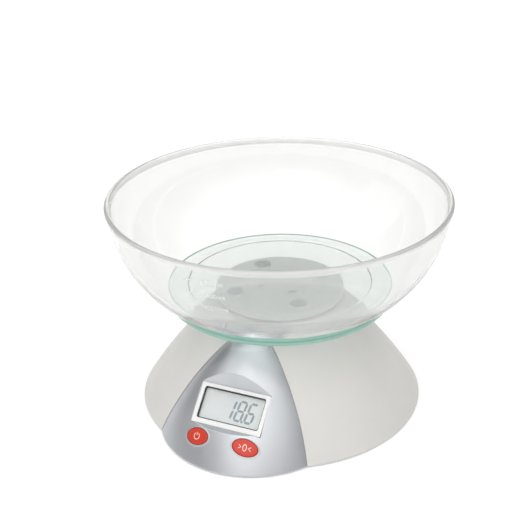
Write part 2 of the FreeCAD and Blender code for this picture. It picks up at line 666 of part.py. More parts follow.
# ================================================================== buttons
def button(centre):
    """Oval button whose top follows the panel and whose flange stays behind it."""
    x, y = centre
    cap = ellipse_prism(BUTTON_HALF_WIDTH, BUTTON_HALF_HEIGHT, (BUTTON_BOTTOM, HIGH / 4), x, y)
    cap = on_display(cap).common(panel_body(-BUTTON_PROUD))
    flange = ellipse_prism(BUTTON_HALF_WIDTH + BUTTON_FLANGE, BUTTON_HALF_HEIGHT + BUTTON_FLANGE,
                           (BUTTON_BOTTOM, -BUTTON_FLANGE_DEPTH), x, y)
    flange = on_display(flange).common(panel_body(WALL + FIT_GAP))
    return fused(cap, flange)


def switch_plunger(centre):
    """Short pin between a button and its switch."""
    x, y = centre
    return on_display(rod(PLUNGER_R, (SWITCH_TOP - 1.0, BUTTON_BOTTOM), x, y))


# ================================================================== load cell and hub
def load_cell():
    """Aluminium bar with the twin-hole window of a bending-beam load cell."""
    half = CELL_SECTION / 2
    bar = block((-CELL_LENGTH / 2, CELL_LENGTH / 2), (-half, half), (CELL_BOTTOM_Z, CELL_TOP_Z))
    middle_z = (CELL_BOTTOM_Z + CELL_TOP_Z) / 2
    reach = CELL_WEB_HOLE_SPACING / 2
    cuts = [Part.makeCylinder(CELL_WEB_HOLE_R, 2 * CELL_SECTION, Vector(side * reach, -CELL_SECTION, middle_z),
                              Vector(0, 1, 0)) for side in (-1, 1)]
    cuts.append(block((-reach, reach), (-CELL_SECTION, CELL_SECTION), (middle_z - 2.0, middle_z + 2.0)))
    cuts += [rod(CELL_SCREW_R, (0, HIGH), side * x) for side in (-1, 1) for x in CELL_HOLE_XS]
    return bar.cut(cuts)


def load_cell_potting():
    """White sealant over the strain gauges, above and below the window."""
    x_range, y_range = (-10.0, 10.0), (-CELL_SECTION / 2 + 0.8, CELL_SECTION / 2 - 0.8)
    upper = block(x_range, y_range, (CELL_TOP_Z, CELL_TOP_Z + POTTING_THICKNESS))
    lower = block(x_range, y_range, (CELL_BOTTOM_Z - POTTING_THICKNESS, CELL_BOTTOM_Z))
    return compound([upper, lower])


def load_cell_spacer():
    """Metal spacer that lifts the fixed end of the load cell off the pedestal."""
    first, last = CELL_HOLE_XS
    spacer = block((-last - CELL_HOLE_FROM_END, -first + CELL_HOLE_FROM_END), (-CELL_SECTION / 2, CELL_SECTION / 2),
                   (PEDESTAL_TOP_Z, CELL_BOTTOM_Z))
    return spacer.cut([rod(CELL_SCREW_R, (0, HIGH), -x) for x in CELL_HOLE_XS])


def cell_screw(x, seat_z, tip_z):
    """Hexagon-socket screw whose head bears on seat_z and whose end is at tip_z."""
    up = 1 if tip_z > seat_z else -1
    head_z = sorted((seat_z, seat_z - up * CELL_SCREW_HEAD_HEIGHT))
    head = rod(CELL_SCREW_HEAD_R, head_z, x)
    shank = rod(CELL_SCREW_R, sorted((seat_z, tip_z)), x)
    corners = [Vector(x + 1.6 * math.cos(math.radians(60 * i)), 1.6 * math.sin(math.radians(60 * i)), 0)
               for i in range(7)]
    socket = Part.Face(Part.makePolygon(corners)).extrude(Vector(0, 0, 1.6))
    socket.translate(Vector(0, 0, head_z[0] if up > 0 else head_z[1] - 1.6))
    return fused(head, shank).cut(socket)


def load_cell_screws():
    """Screws from below through the pedestal into the fixed end."""
    seat = PEDESTAL_TOP_Z - 4.0
    return compound([cell_screw(-x, seat, CELL_BOTTOM_Z + 9.0) for x in CELL_HOLE_XS])


def hub_screws():
    """Screws from above through the hub's arm into the free end."""
    return compound([cell_screw(x, HUB_ARM_TOP_Z, CELL_TOP_Z - 9.0) for x in CELL_HOLE_XS])


def carrier_screw_points():
    """Places of the screws between the plate carrier and the hub."""
    return [polar(CARRIER_SCREW_CIRCLE_R, angle) for angle in (90.0, 210.0, 330.0)]


def hub_column():
    """Column that stands on the load cell's free end and carries the plate through the deck."""
    half = CELL_SECTION / 2
    arm_half = half + 3.0
    arm_end = CELL_LENGTH / 2 + 2.0
    foot = block((CELL_HOLE_XS[0] - CELL_HOLE_FROM_END, arm_end), (-half, half), (CELL_TOP_Z, HUB_ARM_Z))
    arm = block((0, arm_end), (-arm_half, arm_half), (HUB_ARM_Z, HUB_ARM_TOP_Z))
    floor = rod(HUB_TUBE_R, (HUB_ARM_Z, HUB_ARM_TOP_Z))
    tube = rod(HUB_TUBE_R, (HUB_ARM_Z, CARRIER_UNDERSIDE_Z))
    tube = tube.cut(rod(HUB_TUBE_R - HUB_TUBE_WALL, (HUB_ARM_TOP_Z, HIGH)))
    posts = [rod(CARRIER_SCREW_R + 2.0, (HUB_ARM_TOP_Z, CARRIER_UNDERSIDE_Z), x, y)
             for x, y in carrier_screw_points()]
    hub = fused(floor, tube, arm, foot, *posts)
    cuts = [rod(CELL_SCREW_R + 0.2, (0, HUB_ARM_TOP_Z + 1), x) for x in CELL_HOLE_XS]
    cuts += [rod(CARRIER_SCREW_R, (CARRIER_UNDERSIDE_Z - 14.0, HIGH), x, y) for x, y in carrier_screw_points()]
    return hub.cut(cuts)


def plate_carrier():
    """Round carrier under the glass, with seats for the pads and countersunk screw holes."""
    disc = rod(CARRIER_R, (CARRIER_UNDERSIDE_Z, CARRIER_TOP_Z))
    skirt_z = (CARRIER_UNDERSIDE_Z - CARRIER_SKIRT_DEPTH, CARRIER_UNDERSIDE_Z)
    skirt = rod(CARRIER_R, skirt_z).cut(rod(CARRIER_R - CARRIER_SKIRT_WALL, skirt_z))
    spigot_r = HUB_TUBE_R - HUB_TUBE_WALL - FIT_GAP
    spigot = rod(spigot_r, skirt_z).cut(rod(spigot_r - 1.6, skirt_z))
    carrier = fused(disc, skirt, spigot)
    cuts = [rod(PAD_R, (CARRIER_TOP_Z - PAD_RECESS, HIGH), *polar(PAD_CIRCLE_R, angle))
            for angle in pad_angles()]
    for x, y in carrier_screw_points():
        cuts.append(rod(CARRIER_SCREW_R + 2.0 + FIT_GAP, skirt_z, x, y))
        cuts.append(rod(CARRIER_SCREW_R + 0.2, (0, HIGH), x, y))
        cuts.append(Part.makeCone(CARRIER_SCREW_R, CARRIER_SCREW_HEAD_R + 0.2, 1.8, Vector(x, y, CARRIER_TOP_Z - 1.8)))
    return carrier.cut(cuts)


def carrier_screws():
    """Countersunk screws from above into the hub's posts."""
    screws = []
    for x, y in carrier_screw_points():
        head = Part.makeCone(CARRIER_SCREW_R, CARRIER_SCREW_HEAD_R, 1.6, Vector(x, y, CARRIER_TOP_Z - 1.7))
        shank = rod(CARRIER_SCREW_R, (CARRIER_UNDERSIDE_Z - 10.0, CARRIER_TOP_Z - 0.4), x, y)
        screws.append(fused(head, shank))
    return compound(screws)


def pad_angles():
    """Directions of the pads under the glass."""
    return [45.0 + 90.0 * i for i in range(4)]


def plate_pads():
    """Silicone pads between the carrier and the glass."""
    z_range = (CARRIER_TOP_Z - PAD_RECESS, PLATE_UNDERSIDE_Z)
    return compound([rod(PAD_R, z_range, *polar(PAD_CIRCLE_R, angle)) for angle in pad_angles()])


def glass_plate():
    """Round weighing plate of tempered glass with eased edges."""
    plate = rod(PLATE_R, (PLATE_UNDERSIDE_Z, PLATE_TOP_Z))
    rims = [edge for edge in plate.Edges if len(edge.Vertexes) == 1]
    return plate.makeChamfer(PLATE_EDGE_CHAMFER, rims)


# ================================================================== bowl
def measuring_bowl():
    """Clear bowl with a flat foot ring, rounded floor, curved side and a beaded rim."""
    foot_z = PLATE_TOP_Z
    corner_z = foot_z + BOWL_CORNER_HEIGHT
    neck_z = BOWL_RIM_Z - BOWL_NECK_DROP
    side = Flank((BOWL_CORNER_R, corner_z), (BOWL_NECK_R, neck_z), BOWL_SIDE_BULGE)
    ring_r = BOWL_FLAT_R - BOWL_FOOT_RING
    recess_z = foot_z + BOWL_FOOT_RECESS
    floor_z = recess_z + BOWL_WALL
    bead_z = BOWL_RIM_Z - BOWL_BEAD_THICKNESS / 2
    bead_r = BOWL_RIM_R - BOWL_BEAD_THICKNESS / 2
    inner_neck = side.point(neck_z, BOWL_WALL)
    inner_corner = side.point(corner_z + BOWL_WALL / 2, BOWL_WALL)
    inner_flat = (BOWL_FLAT_R, floor_z)
    outer_flat, outer_corner = (BOWL_FLAT_R, foot_z), (BOWL_CORNER_R, corner_z)
    steps = [
        (ring_r, recess_z),
        (ring_r + BOWL_FOOT_CHAMFER, foot_z),
        outer_flat,
        (bulged_middle(outer_flat, outer_corner, BOWL_FLOOR_ARCH), outer_corner),
        side.arc(corner_z, neck_z),
        (BOWL_RIM_R - BOWL_BEAD_CHAMFER, neck_z + BOWL_BEAD_CHAMFER),
        (BOWL_RIM_R, neck_z + 2 * BOWL_BEAD_CHAMFER),
        (BOWL_RIM_R, bead_z),
        ((bead_r, BOWL_RIM_Z), (BOWL_RIM_R - BOWL_BEAD_THICKNESS, bead_z)),
        inner_neck,
        side.arc(neck_z, inner_corner[1], BOWL_WALL),
        (bulged_middle(inner_flat, inner_corner, BOWL_INNER_ARCH), inner_flat),
        (0.0, floor_z),
    ]
    return revolved((0.0, recess_z), steps)


# ================================================================== batteries
def battery_cells():
    """Two AAA cells side by side, pointing opposite ways."""
    tip_x = BATTERY_BOX_LENGTH / 2 - CONTACT_THICKNESS
    body_length = CELL_BATTERY_LENGTH - BATTERY_NUB_LENGTH
    cells = []
    for side in (-1, 1):
        y = BATTERY_Y + side * BATTERY_PITCH / 2
        direction = Vector(-side, 0, 0)
        tip = Vector(-side * tip_x, y, BATTERY_AXIS_Z)
        inward = Vector(side, 0, 0)
        nub = Part.makeCylinder(BATTERY_NUB_R, BATTERY_NUB_LENGTH, tip, inward)
        body = Part.makeCylinder(CELL_BATTERY_R, body_length, tip - direction * BATTERY_NUB_LENGTH, inward)
        cells.append(fused(body, nub))
    return compound(cells)


def battery_springs():
    """Coil springs at the negative ends."""
    wall_x = BATTERY_BOX_LENGTH / 2 - CONTACT_THICKNESS
    room = 2 * wall_x - CELL_BATTERY_LENGTH
    height = room - 2 * SPRING_WIRE_R - 0.1
    turns = [2 * math.pi * i / SPRING_WIRE_SIDES for i in range(SPRING_WIRE_SIDES + 1)]
    wire_outline = [Vector(SPRING_R + SPRING_WIRE_R * math.cos(turn), 0, SPRING_WIRE_R * math.sin(turn))
                    for turn in turns]
    springs = []
    for side in (-1, 1):
        helix = Part.makeHelix(height / SPRING_TURNS, height, SPRING_R)
        section = Part.makePolygon(wire_outline)
        coil = Part.Wire(helix.Edges).makePipeShell([section], True, True)
        turn = Rotation(Vector(0, 1, 0), -side * 90)
        y = BATTERY_Y + side * BATTERY_PITCH / 2
        start = Vector(side * (wall_x - SPRING_WIRE_R - 0.05), y, BATTERY_AXIS_Z)
        coil.Placement = Placement(start, turn)
        springs.append(coil)
    return compound(springs)


def battery_contacts():
    """Sheet contacts: one bridge at the right end, and two with solder tabs at the left end."""
    half = CONTACT_SIZE / 2
    z_range = (BATTERY_AXIS_Z - half, BATTERY_AXIS_Z + half)
    end_x = BATTERY_BOX_LENGTH / 2
    reach = BATTERY_PITCH / 2 + half
    bridge = block((end_x - CONTACT_THICKNESS, end_x), (BATTERY_Y - reach, BATTERY_Y + reach), z_range)
    contacts = [bridge]
    x_range = (-end_x, -end_x + CONTACT_THICKNESS)
    for side in (-1, 1):
        y = BATTERY_Y + side * BATTERY_PITCH / 2
        plate = block(x_range, (y - half, y + half), z_range)
        tab_y = (y - CONTACT_TAB_WIDTH / 2, y + CONTACT_TAB_WIDTH / 2)
        tab = block(x_range, tab_y, (BATTERY_AXIS_Z, BATTERY_BOX_TOP_Z + CONTACT_TAB_RISE))
        contacts.append(fused(plate, tab))
    return compound(contacts)


def battery_door():
    """Hinged door flush with the underside, with its pin along the edge nearest the middle."""
    half = door_half_length()
    far_y = BATTERY_Y + BATTERY_BOX_WIDTH / 2 + DOOR_LEDGE
    panel = block((-half, half), (hinge_y(), far_y), (FOOT_STAND, DOOR_TOP_Z))
    knuckle = Part.makeCylinder(DOOR_THICKNESS / 2, 2 * half, Vector(-half, hinge_y(), hinge_z()), Vector(1, 0, 0))
    reach = half + HINGE_PIN_REACH
    pin = Part.makeCylinder(HINGE_PIN_R, 2 * reach, Vector(-reach, hinge_y(), hinge_z()), Vector(1, 0, 0))
    grips = [block((-NOTCH_R, NOTCH_R), (far_y - 2.4 - 2.0 * i, far_y - 1.6 - 2.0 * i), (0, FOOT_STAND + 0.4))
             for i in range(3)]
    return fused(panel, knuckle, pin).cut(grips)


# ================================================================== leads
def lead(points, radius):
    """Round wire along straight runs joined by arcs as large as the runs allow."""
    corners = [Vector(*point) for point in points]
    edges = []
    here = corners[0]
    bends = []
    for before, corner, after in zip(corners, corners[1:], corners[2:]):
        back, ahead = before - corner, after - corner
        shorter = min(back.Length, ahead.Length)
        back.normalize()
        ahead.normalize()
        turn = math.pi - back.getAngle(ahead)
        reach = 0.45 * shorter
        bends.append(reach / math.tan(turn / 2))
        start, end = corner + back * reach, corner + ahead * reach
        inward = (back + ahead).normalize()
        middle = corner + inward * (math.hypot(bends[-1], reach) - bends[-1])
        edges.append(Part.LineSegment(here, start).toShape())
        edges.append(Part.Arc(start, middle, end).toShape())
        here = end
    edges.append(Part.LineSegment(here, corners[-1]).toShape())
    print("bend radii", [round(bend, 1) for bend in bends])
    section = Part.Wire(Part.makeCircle(radius, corners[0], corners[1] - corners[0]))
    return Part.Wire(edges).makePipeShell([section], True, False)


def board_pad(x, y):
    """End of a lead on the back of the board, with the point that brings it in square."""
    back = -BOARD_DEPTH - BOARD_THICKNESS
    ends = [DISPLAY_FRAME.multVec(Vector(x, y, back - depth)) for depth in (6.0, 0.05)]
    return [tuple(point) for point in ends]


def battery_lead(side):
    """Lead from a contact tab along the cover to the board; side -1 is the front one."""
    y = BATTERY_Y + side * BATTERY_PITCH / 2
    start_z = BATTERY_BOX_TOP_Z + CONTACT_TAB_RISE - 1.2
    shift = 1.8 * side
    route = [
        (-BATTERY_BOX_LENGTH / 2 - 0.05, y, start_z),
        (-30.5, y - 0.5, start_z - 0.3),
        (-37.0 - shift, y - 3.0, start_z - 4.0),
        (-44.5 - shift, 48.0 + shift, 9.5),
        (-52.0 - shift, 36.0 + shift, 5.4),
        (-57.0 - shift, 20.0, 4.8),
        (-58.5 - shift, 2.0, 5.1),
        (-55.5 - shift, -16.0, 4.8),
        (-49.0 - shift, -33.0 - shift, 5.2),
        (-39.0 - shift, -48.0 - shift, 5.6),
        (-29.0 - shift, -60.5 - shift, 7.6),
        (-21.5 - shift, -71.0 - shift, 9.4),
    ]
    return lead(route + board_pad(-18.0 - shift, -12.0), BATTERY_LEAD_R)


def load_cell_lead(index):
    """One of the four thin leads from the load cell's sealant to the board."""
    shift = (index - 1.5) * CELL_LEAD_PITCH
    start_z = CELL_BOTTOM_Z - POTTING_THICKNESS / 2
    edge_y = -CELL_SECTION / 2 + 0.8
    route = [
        (-3.0 + shift, edge_y - 0.05, start_z),
        (-3.1 + shift, edge_y - 5.0, start_z - 0.4),
        (-2.6 + shift, edge_y - 12.0, start_z - 4.0),
        (-1.4 + shift, edge_y - 20.5, start_z - 9.5),
        (0.6 + shift, edge_y - 30.5, start_z - 13.4),
        (2.8 + shift, edge_y - 41.5, start_z - 14.6),
        (5.0 + shift, edge_y - 52.0, start_z - 12.6),
        (7.0 + shift, edge_y - 60.0, start_z - 8.0),
    ]
    return lead(route + board_pad(8.0 + shift, 14.0), CELL_LEAD_R)


# ================================================================== output
POWER_CENTRE, TARE_CENTRE = button_centres()

NODES = {
    "dome_housing": dome_housing,
    "front_panel": front_panel,
    "base_cover": base_cover,
    "cover_screws": cover_screws,
    "rubber_feet": rubber_feet,
    "display_bezel": display_bezel,
    "display_window": display_window,
    "window_gasket": window_gasket,
    "lcd_glass": lcd_glass,
    "lcd_diffuser": lcd_diffuser,
    "lcd_frame": lcd_frame,
    "zebra_strips": zebra_strips,
    "main_board": main_board,
    "board_screws": board_screws,
    "controller_chip": controller_chip,
    "tact_switches": tact_switches,
    "power_button": lambda: button(POWER_CENTRE),
    "tare_button": lambda: button(TARE_CENTRE),
    "power_plunger": lambda: switch_plunger(POWER_CENTRE),
    "tare_plunger": lambda: switch_plunger(TARE_CENTRE),
    "load_cell": load_cell,
    "load_cell_potting": load_cell_potting,
    "load_cell_spacer": load_cell_spacer,
    "load_cell_screws": load_cell_screws,
    "hub_column": hub_column,
    "hub_screws": hub_screws,
    "plate_carrier": plate_carrier,
    "carrier_screws": carrier_screws,
    "plate_pads": plate_pads,
    "glass_plate": glass_plate,
    "measuring_bowl": measuring_bowl,
    "battery_cells": battery_cells,
    "battery_springs": battery_springs,
    "battery_contacts": battery_contacts,
    "battery_door": battery_door,
    "battery_lead_positive": lambda: battery_lead(-1),
    "battery_lead_negative": lambda: battery_lead(1),
    "load_cell_lead_red": lambda: load_cell_lead(0),
    "load_cell_lead_black": lambda: load_cell_lead(1),
    "load_cell_lead_green": lambda: load_cell_lead(2),
    "load_cell_lead_white": lambda: load_cell_lead(3),
}


def main():
    """Writes one STEP file for each node."""
    os.makedirs("parts", exist_ok=True)
    for name, make in NODES.items():
        shape = make()
        solids = len(shape.Solids)
        print(f"{name}: {solids} solid(s), {shape.Volume:.0f} mm3, valid {shape.isValid()}")
        shape.exportStep(f"parts/{name}.step")


main()
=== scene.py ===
"""Electronic kitchen scale: the finished look of every piece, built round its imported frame.

Metres, +Z up.  The origin is on the table under the centre of the round plate, and the display
faces -Y.
"""

import logging
import math
from dataclasses import dataclass
from enum import Enum

import bmesh
import bpy
import numpy as np
from mathutils import Matrix, Vector


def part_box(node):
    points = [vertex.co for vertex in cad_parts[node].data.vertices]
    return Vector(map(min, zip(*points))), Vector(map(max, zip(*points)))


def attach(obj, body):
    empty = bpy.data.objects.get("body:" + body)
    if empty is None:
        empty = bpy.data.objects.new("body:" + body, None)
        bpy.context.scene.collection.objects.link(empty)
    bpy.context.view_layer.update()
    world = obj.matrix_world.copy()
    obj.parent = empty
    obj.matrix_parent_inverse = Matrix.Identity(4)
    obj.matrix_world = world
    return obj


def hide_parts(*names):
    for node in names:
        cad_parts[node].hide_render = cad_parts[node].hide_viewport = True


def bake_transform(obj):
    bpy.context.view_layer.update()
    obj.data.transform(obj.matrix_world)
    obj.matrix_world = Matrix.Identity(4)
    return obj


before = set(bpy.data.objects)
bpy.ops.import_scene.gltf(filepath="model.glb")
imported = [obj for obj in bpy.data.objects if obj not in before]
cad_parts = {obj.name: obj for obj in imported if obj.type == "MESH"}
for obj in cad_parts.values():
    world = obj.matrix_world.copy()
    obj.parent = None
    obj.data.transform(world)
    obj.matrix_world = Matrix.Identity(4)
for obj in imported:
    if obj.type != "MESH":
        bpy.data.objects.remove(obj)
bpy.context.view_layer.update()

LOG = logging.getLogger("kitchen_scale")
MM = 0.001
TRUE_WITHIN = 0.06 * MM       # a vertex this close to a surface lies on it
FACES_ALIKE = 0.9             # cosine over which a face looks the way a surface does
FLAT_WITH = 0.99              # cosine over which two faces lie in one plane
SHARP_FROM = math.radians(32.0)
CUTS = 4                      # most times that long edges are halved
MERGE_NODE = 1e-6             # metres within which corners of a CAD node are one
MERGE_OWN = 1e-7              # the same for meshes made here
ON_AXIS = 1e-9                # metres within which a point of a section is on its axis
Colour = tuple[float, float, float]
Point = tuple[float, float]
Place = tuple[Vector, Vector, Vector]
UNTURNED = Vector((0.0, 0.0, 0.0))
FULL_SIZE = Vector((1.0, 1.0, 1.0))


class Body(Enum):
    """Bodies of the scale that pieces ride on."""

    BASE = "base"
    PLATFORM = "platform"
    BOWL = "bowl"
    POWER_KEY = "power_key"
    TARE_KEY = "tare_key"


class KeyMark(Enum):
    """Sign on a push button."""

    POWER = "power"
    ZERO = "zero"


# ================================================================== node trees
class Bench:
    """Adds nodes to a tree and joins them."""

    def __init__(self, tree: bpy.types.NodeTree) -> None:
        """Works on the given tree."""
        self.tree = tree

    def feed(self, target: bpy.types.NodeSocket, value: object) -> None:
        """Links a socket to the target, or sets the target to a plain value."""
        if isinstance(value, bpy.types.NodeSocket):
            self.tree.links.new(value, target)
        else:
            target.default_value = value

    def add(self, kind: str, sockets: dict | None = None, **settings: object) -> bpy.types.Node:
        """Adds one node.

        Args:
            kind: Blender's name for the node.
            sockets: Values or sockets for its inputs, by name or number.
            settings: The node's own settings.

        Returns:
            The new node.
        """
        node = self.tree.nodes.new(kind)
        for name, value in settings.items():
            setattr(node, name, value)
        for name, value in (sockets or {}).items():
            self.feed(node.inputs[name], value)
        return node


class SurfaceBench(Bench):
    """Bench for a material, with the patterns that the finishes share."""

    # cosines between rounded and plain normal, from a full edge to none
    EDGE_FROM_TO = (0.86, 0.995)

    def __init__(self, material: bpy.types.Material) -> None:
        """Clears the material's tree and places its output and its coordinates."""
        material.use_nodes = True
        material.node_tree.nodes.clear()
        super().__init__(material.node_tree)
        self.output = self.add("ShaderNodeOutputMaterial")
        self.place = self.add("ShaderNodeTexCoord").outputs["Object"]

    def noise(self, size: float, detail: float = 2.0,
              stretch: Colour = (1, 1, 1)) -> bpy.types.NodeSocket:
        """Noise from 0 to 1.

        Args:
            size: Size of its features in metres.
            detail: Number of finer layers.
            stretch: Share of the scale along each axis; a small one draws the features out.

        Returns:
            The noise's socket.
        """
        scale = [share / size for share in stretch]
        mapping = self.add("ShaderNodeMapping", {"Vector": self.place, "Scale": scale})
        sockets = {"Vector": mapping.outputs[0], "Scale": 1.0, "Detail": detail}
        return self.add("ShaderNodeTexNoise", sockets).outputs[0]

    def spread(self, value: bpy.types.NodeSocket, low: float, high: float,
               start: float = 0.3, end: float = 0.7) -> bpy.types.NodeSocket:
        """Turns start to end into low to high."""
        sockets = {"Value": value, "From Min": start, "From Max": end,
                   "To Min": low, "To Max": high}
        return self.add("ShaderNodeMapRange", sockets).outputs[0]

    def tint(self, share: object, first: object, second: object) -> bpy.types.NodeSocket:
        """Mixes two colours."""
        sockets = {0: share, 6: first, 7: second}
        return self.add("ShaderNodeMix", sockets, data_type="RGBA").outputs[2]

    def soft_edge(self, radius: float) -> tuple[bpy.types.NodeSocket, bpy.types.NodeSocket]:
        """Rounds sharp edges in the shading.

        Args:
            radius: The edge's radius in metres.

        Returns:
            The rounded normal, and a mask that is 1 on the edges.
        """
        bevel = self.add("ShaderNodeBevel", {"Radius": radius}, samples=6).outputs[0]
        plain = self.add("ShaderNodeNewGeometry").outputs["Normal"]
        same = self.add("ShaderNodeVectorMath", {0: bevel, 1: plain}, operation="DOT_PRODUCT")
        return bevel, self.spread(same.outputs["Value"], 1.0, 0.0, *self.EDGE_FROM_TO)

    def relief(self, height: bpy.types.NodeSocket, depth: float,
               normal: bpy.types.NodeSocket | None = None) -> bpy.types.NodeSocket:
        """Bumps the surface.

        Args:
            height: Pattern from 0 to 1.
            depth: Depth of the bumps in metres.
            normal: Normal that the bumps add to, or None for the surface's own.

        Returns:
            The bumped normal.
        """
        sockets = {"Height": height, "Distance": depth, "Strength": 1.0}
        if normal is not None:
            sockets["Normal"] = normal
        return self.add("ShaderNodeBump", sockets).outputs[0]

    def show(self, sockets: dict, lamp_tint: Colour | None = None) -> bpy.types.Node:
        """Puts a Principled shader on the output.

        Args:
            sockets: Values or sockets for the shader's inputs.
            lamp_tint: For clear pieces, the colour in which lamps shine through.

        Returns:
            The Principled shader.
        """
        shader = self.add("ShaderNodeBsdfPrincipled", sockets)
        surface = shader.outputs[0]
        if lamp_tint is not None:
            clear = self.add("ShaderNodeBsdfTransparent", {"Color": (*lamp_tint, 1.0)})
            lamp = self.add("ShaderNodeLightPath").outputs["Is Shadow Ray"]
            shaders = {0: lamp, 1: surface, 2: clear.outputs[0]}
            surface = self.add("ShaderNodeMixShader", shaders).outputs[0]
        self.feed(self.output.inputs["Surface"], surface)
        return shader


def shade(colour: Colour, share: float) -> tuple[float, float, float, float]:
    """The colour made darker by a share below 1, or lighter by one above it, with alpha."""
    return (*[min(1.0, part * share) for part in colour], 1.0)


# ================================================================== finishes
@dataclass(frozen=True)
class Finish:
    """A surface finish, made into one material however many pieces wear it."""

    name: str
    colour: Colour

    def material(self) -> bpy.types.Material:
        """The finish's material, made on first use."""
        found = bpy.data.materials.get(self.name)
        if found is None:
            found = bpy.data.materials.new(self.name)
            self.wire(SurfaceBench(found))
        return found

    def wire(self, bench: SurfaceBench) -> None:
        """Joins the finish's nodes.

        Args:
            bench: The bench of the new material.
        """
        raise NotImplementedError


@dataclass(frozen=True)
class MouldedPlastic(Finish):
    """Moulded plastic with spark grain, faint flow marks, handling marks and lighter worn edges."""

    roughness: float = 0.4
    grain: float = 0.35 * MM
    depth: float = 0.004 * MM
    edge: float = 0.35 * MM
    coat: float = 0.0

    def wire(self, bench: SurfaceBench) -> None:
        """Joins the finish's nodes.

        Args:
            bench: The bench of the new material.
        """
        rounded, edge_mask = bench.soft_edge(self.edge)
        flow = bench.spread(bench.noise(46 * MM, 3.0), 0.0, 1.0)
        body = bench.tint(flow, shade(self.colour, 0.965), shade(self.colour, 1.02))
        wear = bench.spread(bench.noise(5 * MM, 4.0), 0.1, 0.5)
        share = bench.add("ShaderNodeMath", {0: edge_mask, 1: wear}, operation="MULTIPLY").outputs[0]
        marks = bench.noise(9 * MM, 5.0, (1.0, 1.0, 0.3))
        sockets = {
            "Base Color": bench.tint(share, body, shade(self.colour, 1.25)),
            "Roughness": bench.spread(marks, self.roughness - 0.05, self.roughness + 0.07),
            "Normal": bench.relief(bench.noise(self.grain, 1.0), self.depth, rounded),
            "Coat Weight": self.coat,
            "Coat Roughness": 0.2,
        }
        bench.show(sockets)


@dataclass(frozen=True)
class SilverCoat(Finish):
    """Silver paint on plastic: fine metal flakes in a satin lacquer, with a painted highlight that
    lightens every edge.
    """

    roughness: float = 0.34
    flake: float = 0.16 * MM
    edge: float = 0.6 * MM

    def wire(self, bench: SurfaceBench) -> None:
        """Joins the finish's nodes.

        Args:
            bench: The bench of the new material.
        """
        rounded, edge_mask = bench.soft_edge(self.edge)
        scale = [1 / self.flake] * 3
        mapping = bench.add("ShaderNodeMapping", {"Vector": bench.place, "Scale": scale})
        flakes = bench.add("ShaderNodeTexVoronoi", {"Vector": mapping.outputs[0], "Scale": 1.0})
        bright = bench.add("ShaderNodeSeparateColor", {0: flakes.outputs["Color"]}).outputs[0]
        body = bench.tint(bright, shade(self.colour, 0.97), shade(self.colour, 1.03))
        marks = bench.noise(11 * MM, 5.0, (1.0, 1.0, 0.4))
        sockets = {
            # painted highlight: the base colour is lightened along every edge
            "Base Color": bench.tint(edge_mask, body, shade(self.colour, 1.3)),
            "Metallic": 0.88,
            "Roughness": bench.spread(marks, self.roughness - 0.04, self.roughness + 0.05),
            "Normal": bench.relief(marks, 0.003 * MM, rounded),
        }
        bench.show(sockets)


@dataclass(frozen=True)
class WorkedMetal(Finish):
    """Bare or plated metal with tool marks along one axis."""

    roughness: float = 0.3
    lay: Colour = (0.08, 1.0, 1.0)

    def wire(self, bench: SurfaceBench) -> None:
        """Joins the finish's nodes.

        Args:
            bench: The bench of the new material.
        """
        lines = bench.noise(0.25 * MM, 3.0, self.lay)
        stains = bench.spread(bench.noise(7 * MM, 4.0), 0.0, 1.0)
        sockets = {
            "Base Color": bench.tint(stains, shade(self.colour, 0.88), shade(self.colour, 1.05)),
            "Metallic": 1.0,
            "Roughness": bench.spread(lines, self.roughness - 0.08, self.roughness + 0.1),
            "Normal": bench.relief(lines, 0.004 * MM, bench.soft_edge(0.15 * MM)[0]),
        }
        bench.show(sockets)


@dataclass(frozen=True)
class ClearMoulding(Finish):
    """Clear plastic or glass with the faint waviness and haze of handling."""

    index: float = 1.5
    haze: float = 0.03
    wave: float = 0.006 * MM
    clearness: float = 1.0
    lamp_tint: Colour = (0.95, 0.955, 0.955)

    def wire(self, bench: SurfaceBench) -> None:
        """Joins the finish's nodes.

        Args:
            bench: The bench of the new material.
        """
        smears = bench.noise(14 * MM, 5.0, (1.0, 1.0, 0.5))
        share = bench.spread(smears, 0.0, 1.0)
        sockets = {
            "Base Color": bench.tint(share, shade(self.colour, 0.985), shade(self.colour, 1.0)),
            "Roughness": bench.spread(smears, 0.0, self.haze, 0.45, 0.8),
            "Normal": bench.relief(bench.noise(22 * MM, 1.0), self.wave),
            "IOR": self.index,
            "Transmission Weight": self.clearness,
        }
        bench.show(sockets, self.lamp_tint)


@dataclass(frozen=True)
class GroundEdge(Finish):
    """Ground and polished edge of float glass, which shows the glass's own green with a painted
    shade band across its middle.
    """

    low: float = 82.5 * MM
    high: float = 87.5 * MM
    # colour of the painted shade band across the edge, and the share of the edge's height at its
    # middle
    shade_band: Colour = (0.13, 0.22, 0.19)
    shade_band_at: float = 0.6

    def wire(self, bench: SurfaceBench) -> None:
        """Joins the finish's nodes.

        Args:
            bench: The bench of the new material.
        """
        grind = bench.noise(0.4 * MM, 3.0, (1.0, 1.0, 0.3))
        cloud = bench.spread(bench.noise(19 * MM, 2.0, (1.0, 1.0, 5.0)), 0.0, 1.0)
        green = bench.tint(cloud, shade(self.colour, 0.9), shade(self.colour, 1.08))
        rise = bench.add("ShaderNodeSeparateXYZ", {0: bench.place}).outputs[2]
        # painted shade: darkens a band across the edge's height, centred at the given share of it
        share = bench.spread(rise, 0.0, 1.0, self.low, self.high)
        off = bench.add("ShaderNodeMath", {0: share, 1: self.shade_band_at}, operation="SUBTRACT")
        off = bench.add("ShaderNodeMath", {0: off.outputs[0]}, operation="ABSOLUTE").outputs[0]
        dark = bench.spread(off, 0.55, 0.0, 0.02, 0.2)
        sockets = {
            "Base Color": bench.tint(dark, green, shade(self.shade_band, 1.0)),
            "Roughness": bench.spread(grind, 0.12, 0.24),
            "Normal": bench.relief(grind, 0.003 * MM),
        }
        bench.show(sockets, (0.85, 0.93, 0.9))


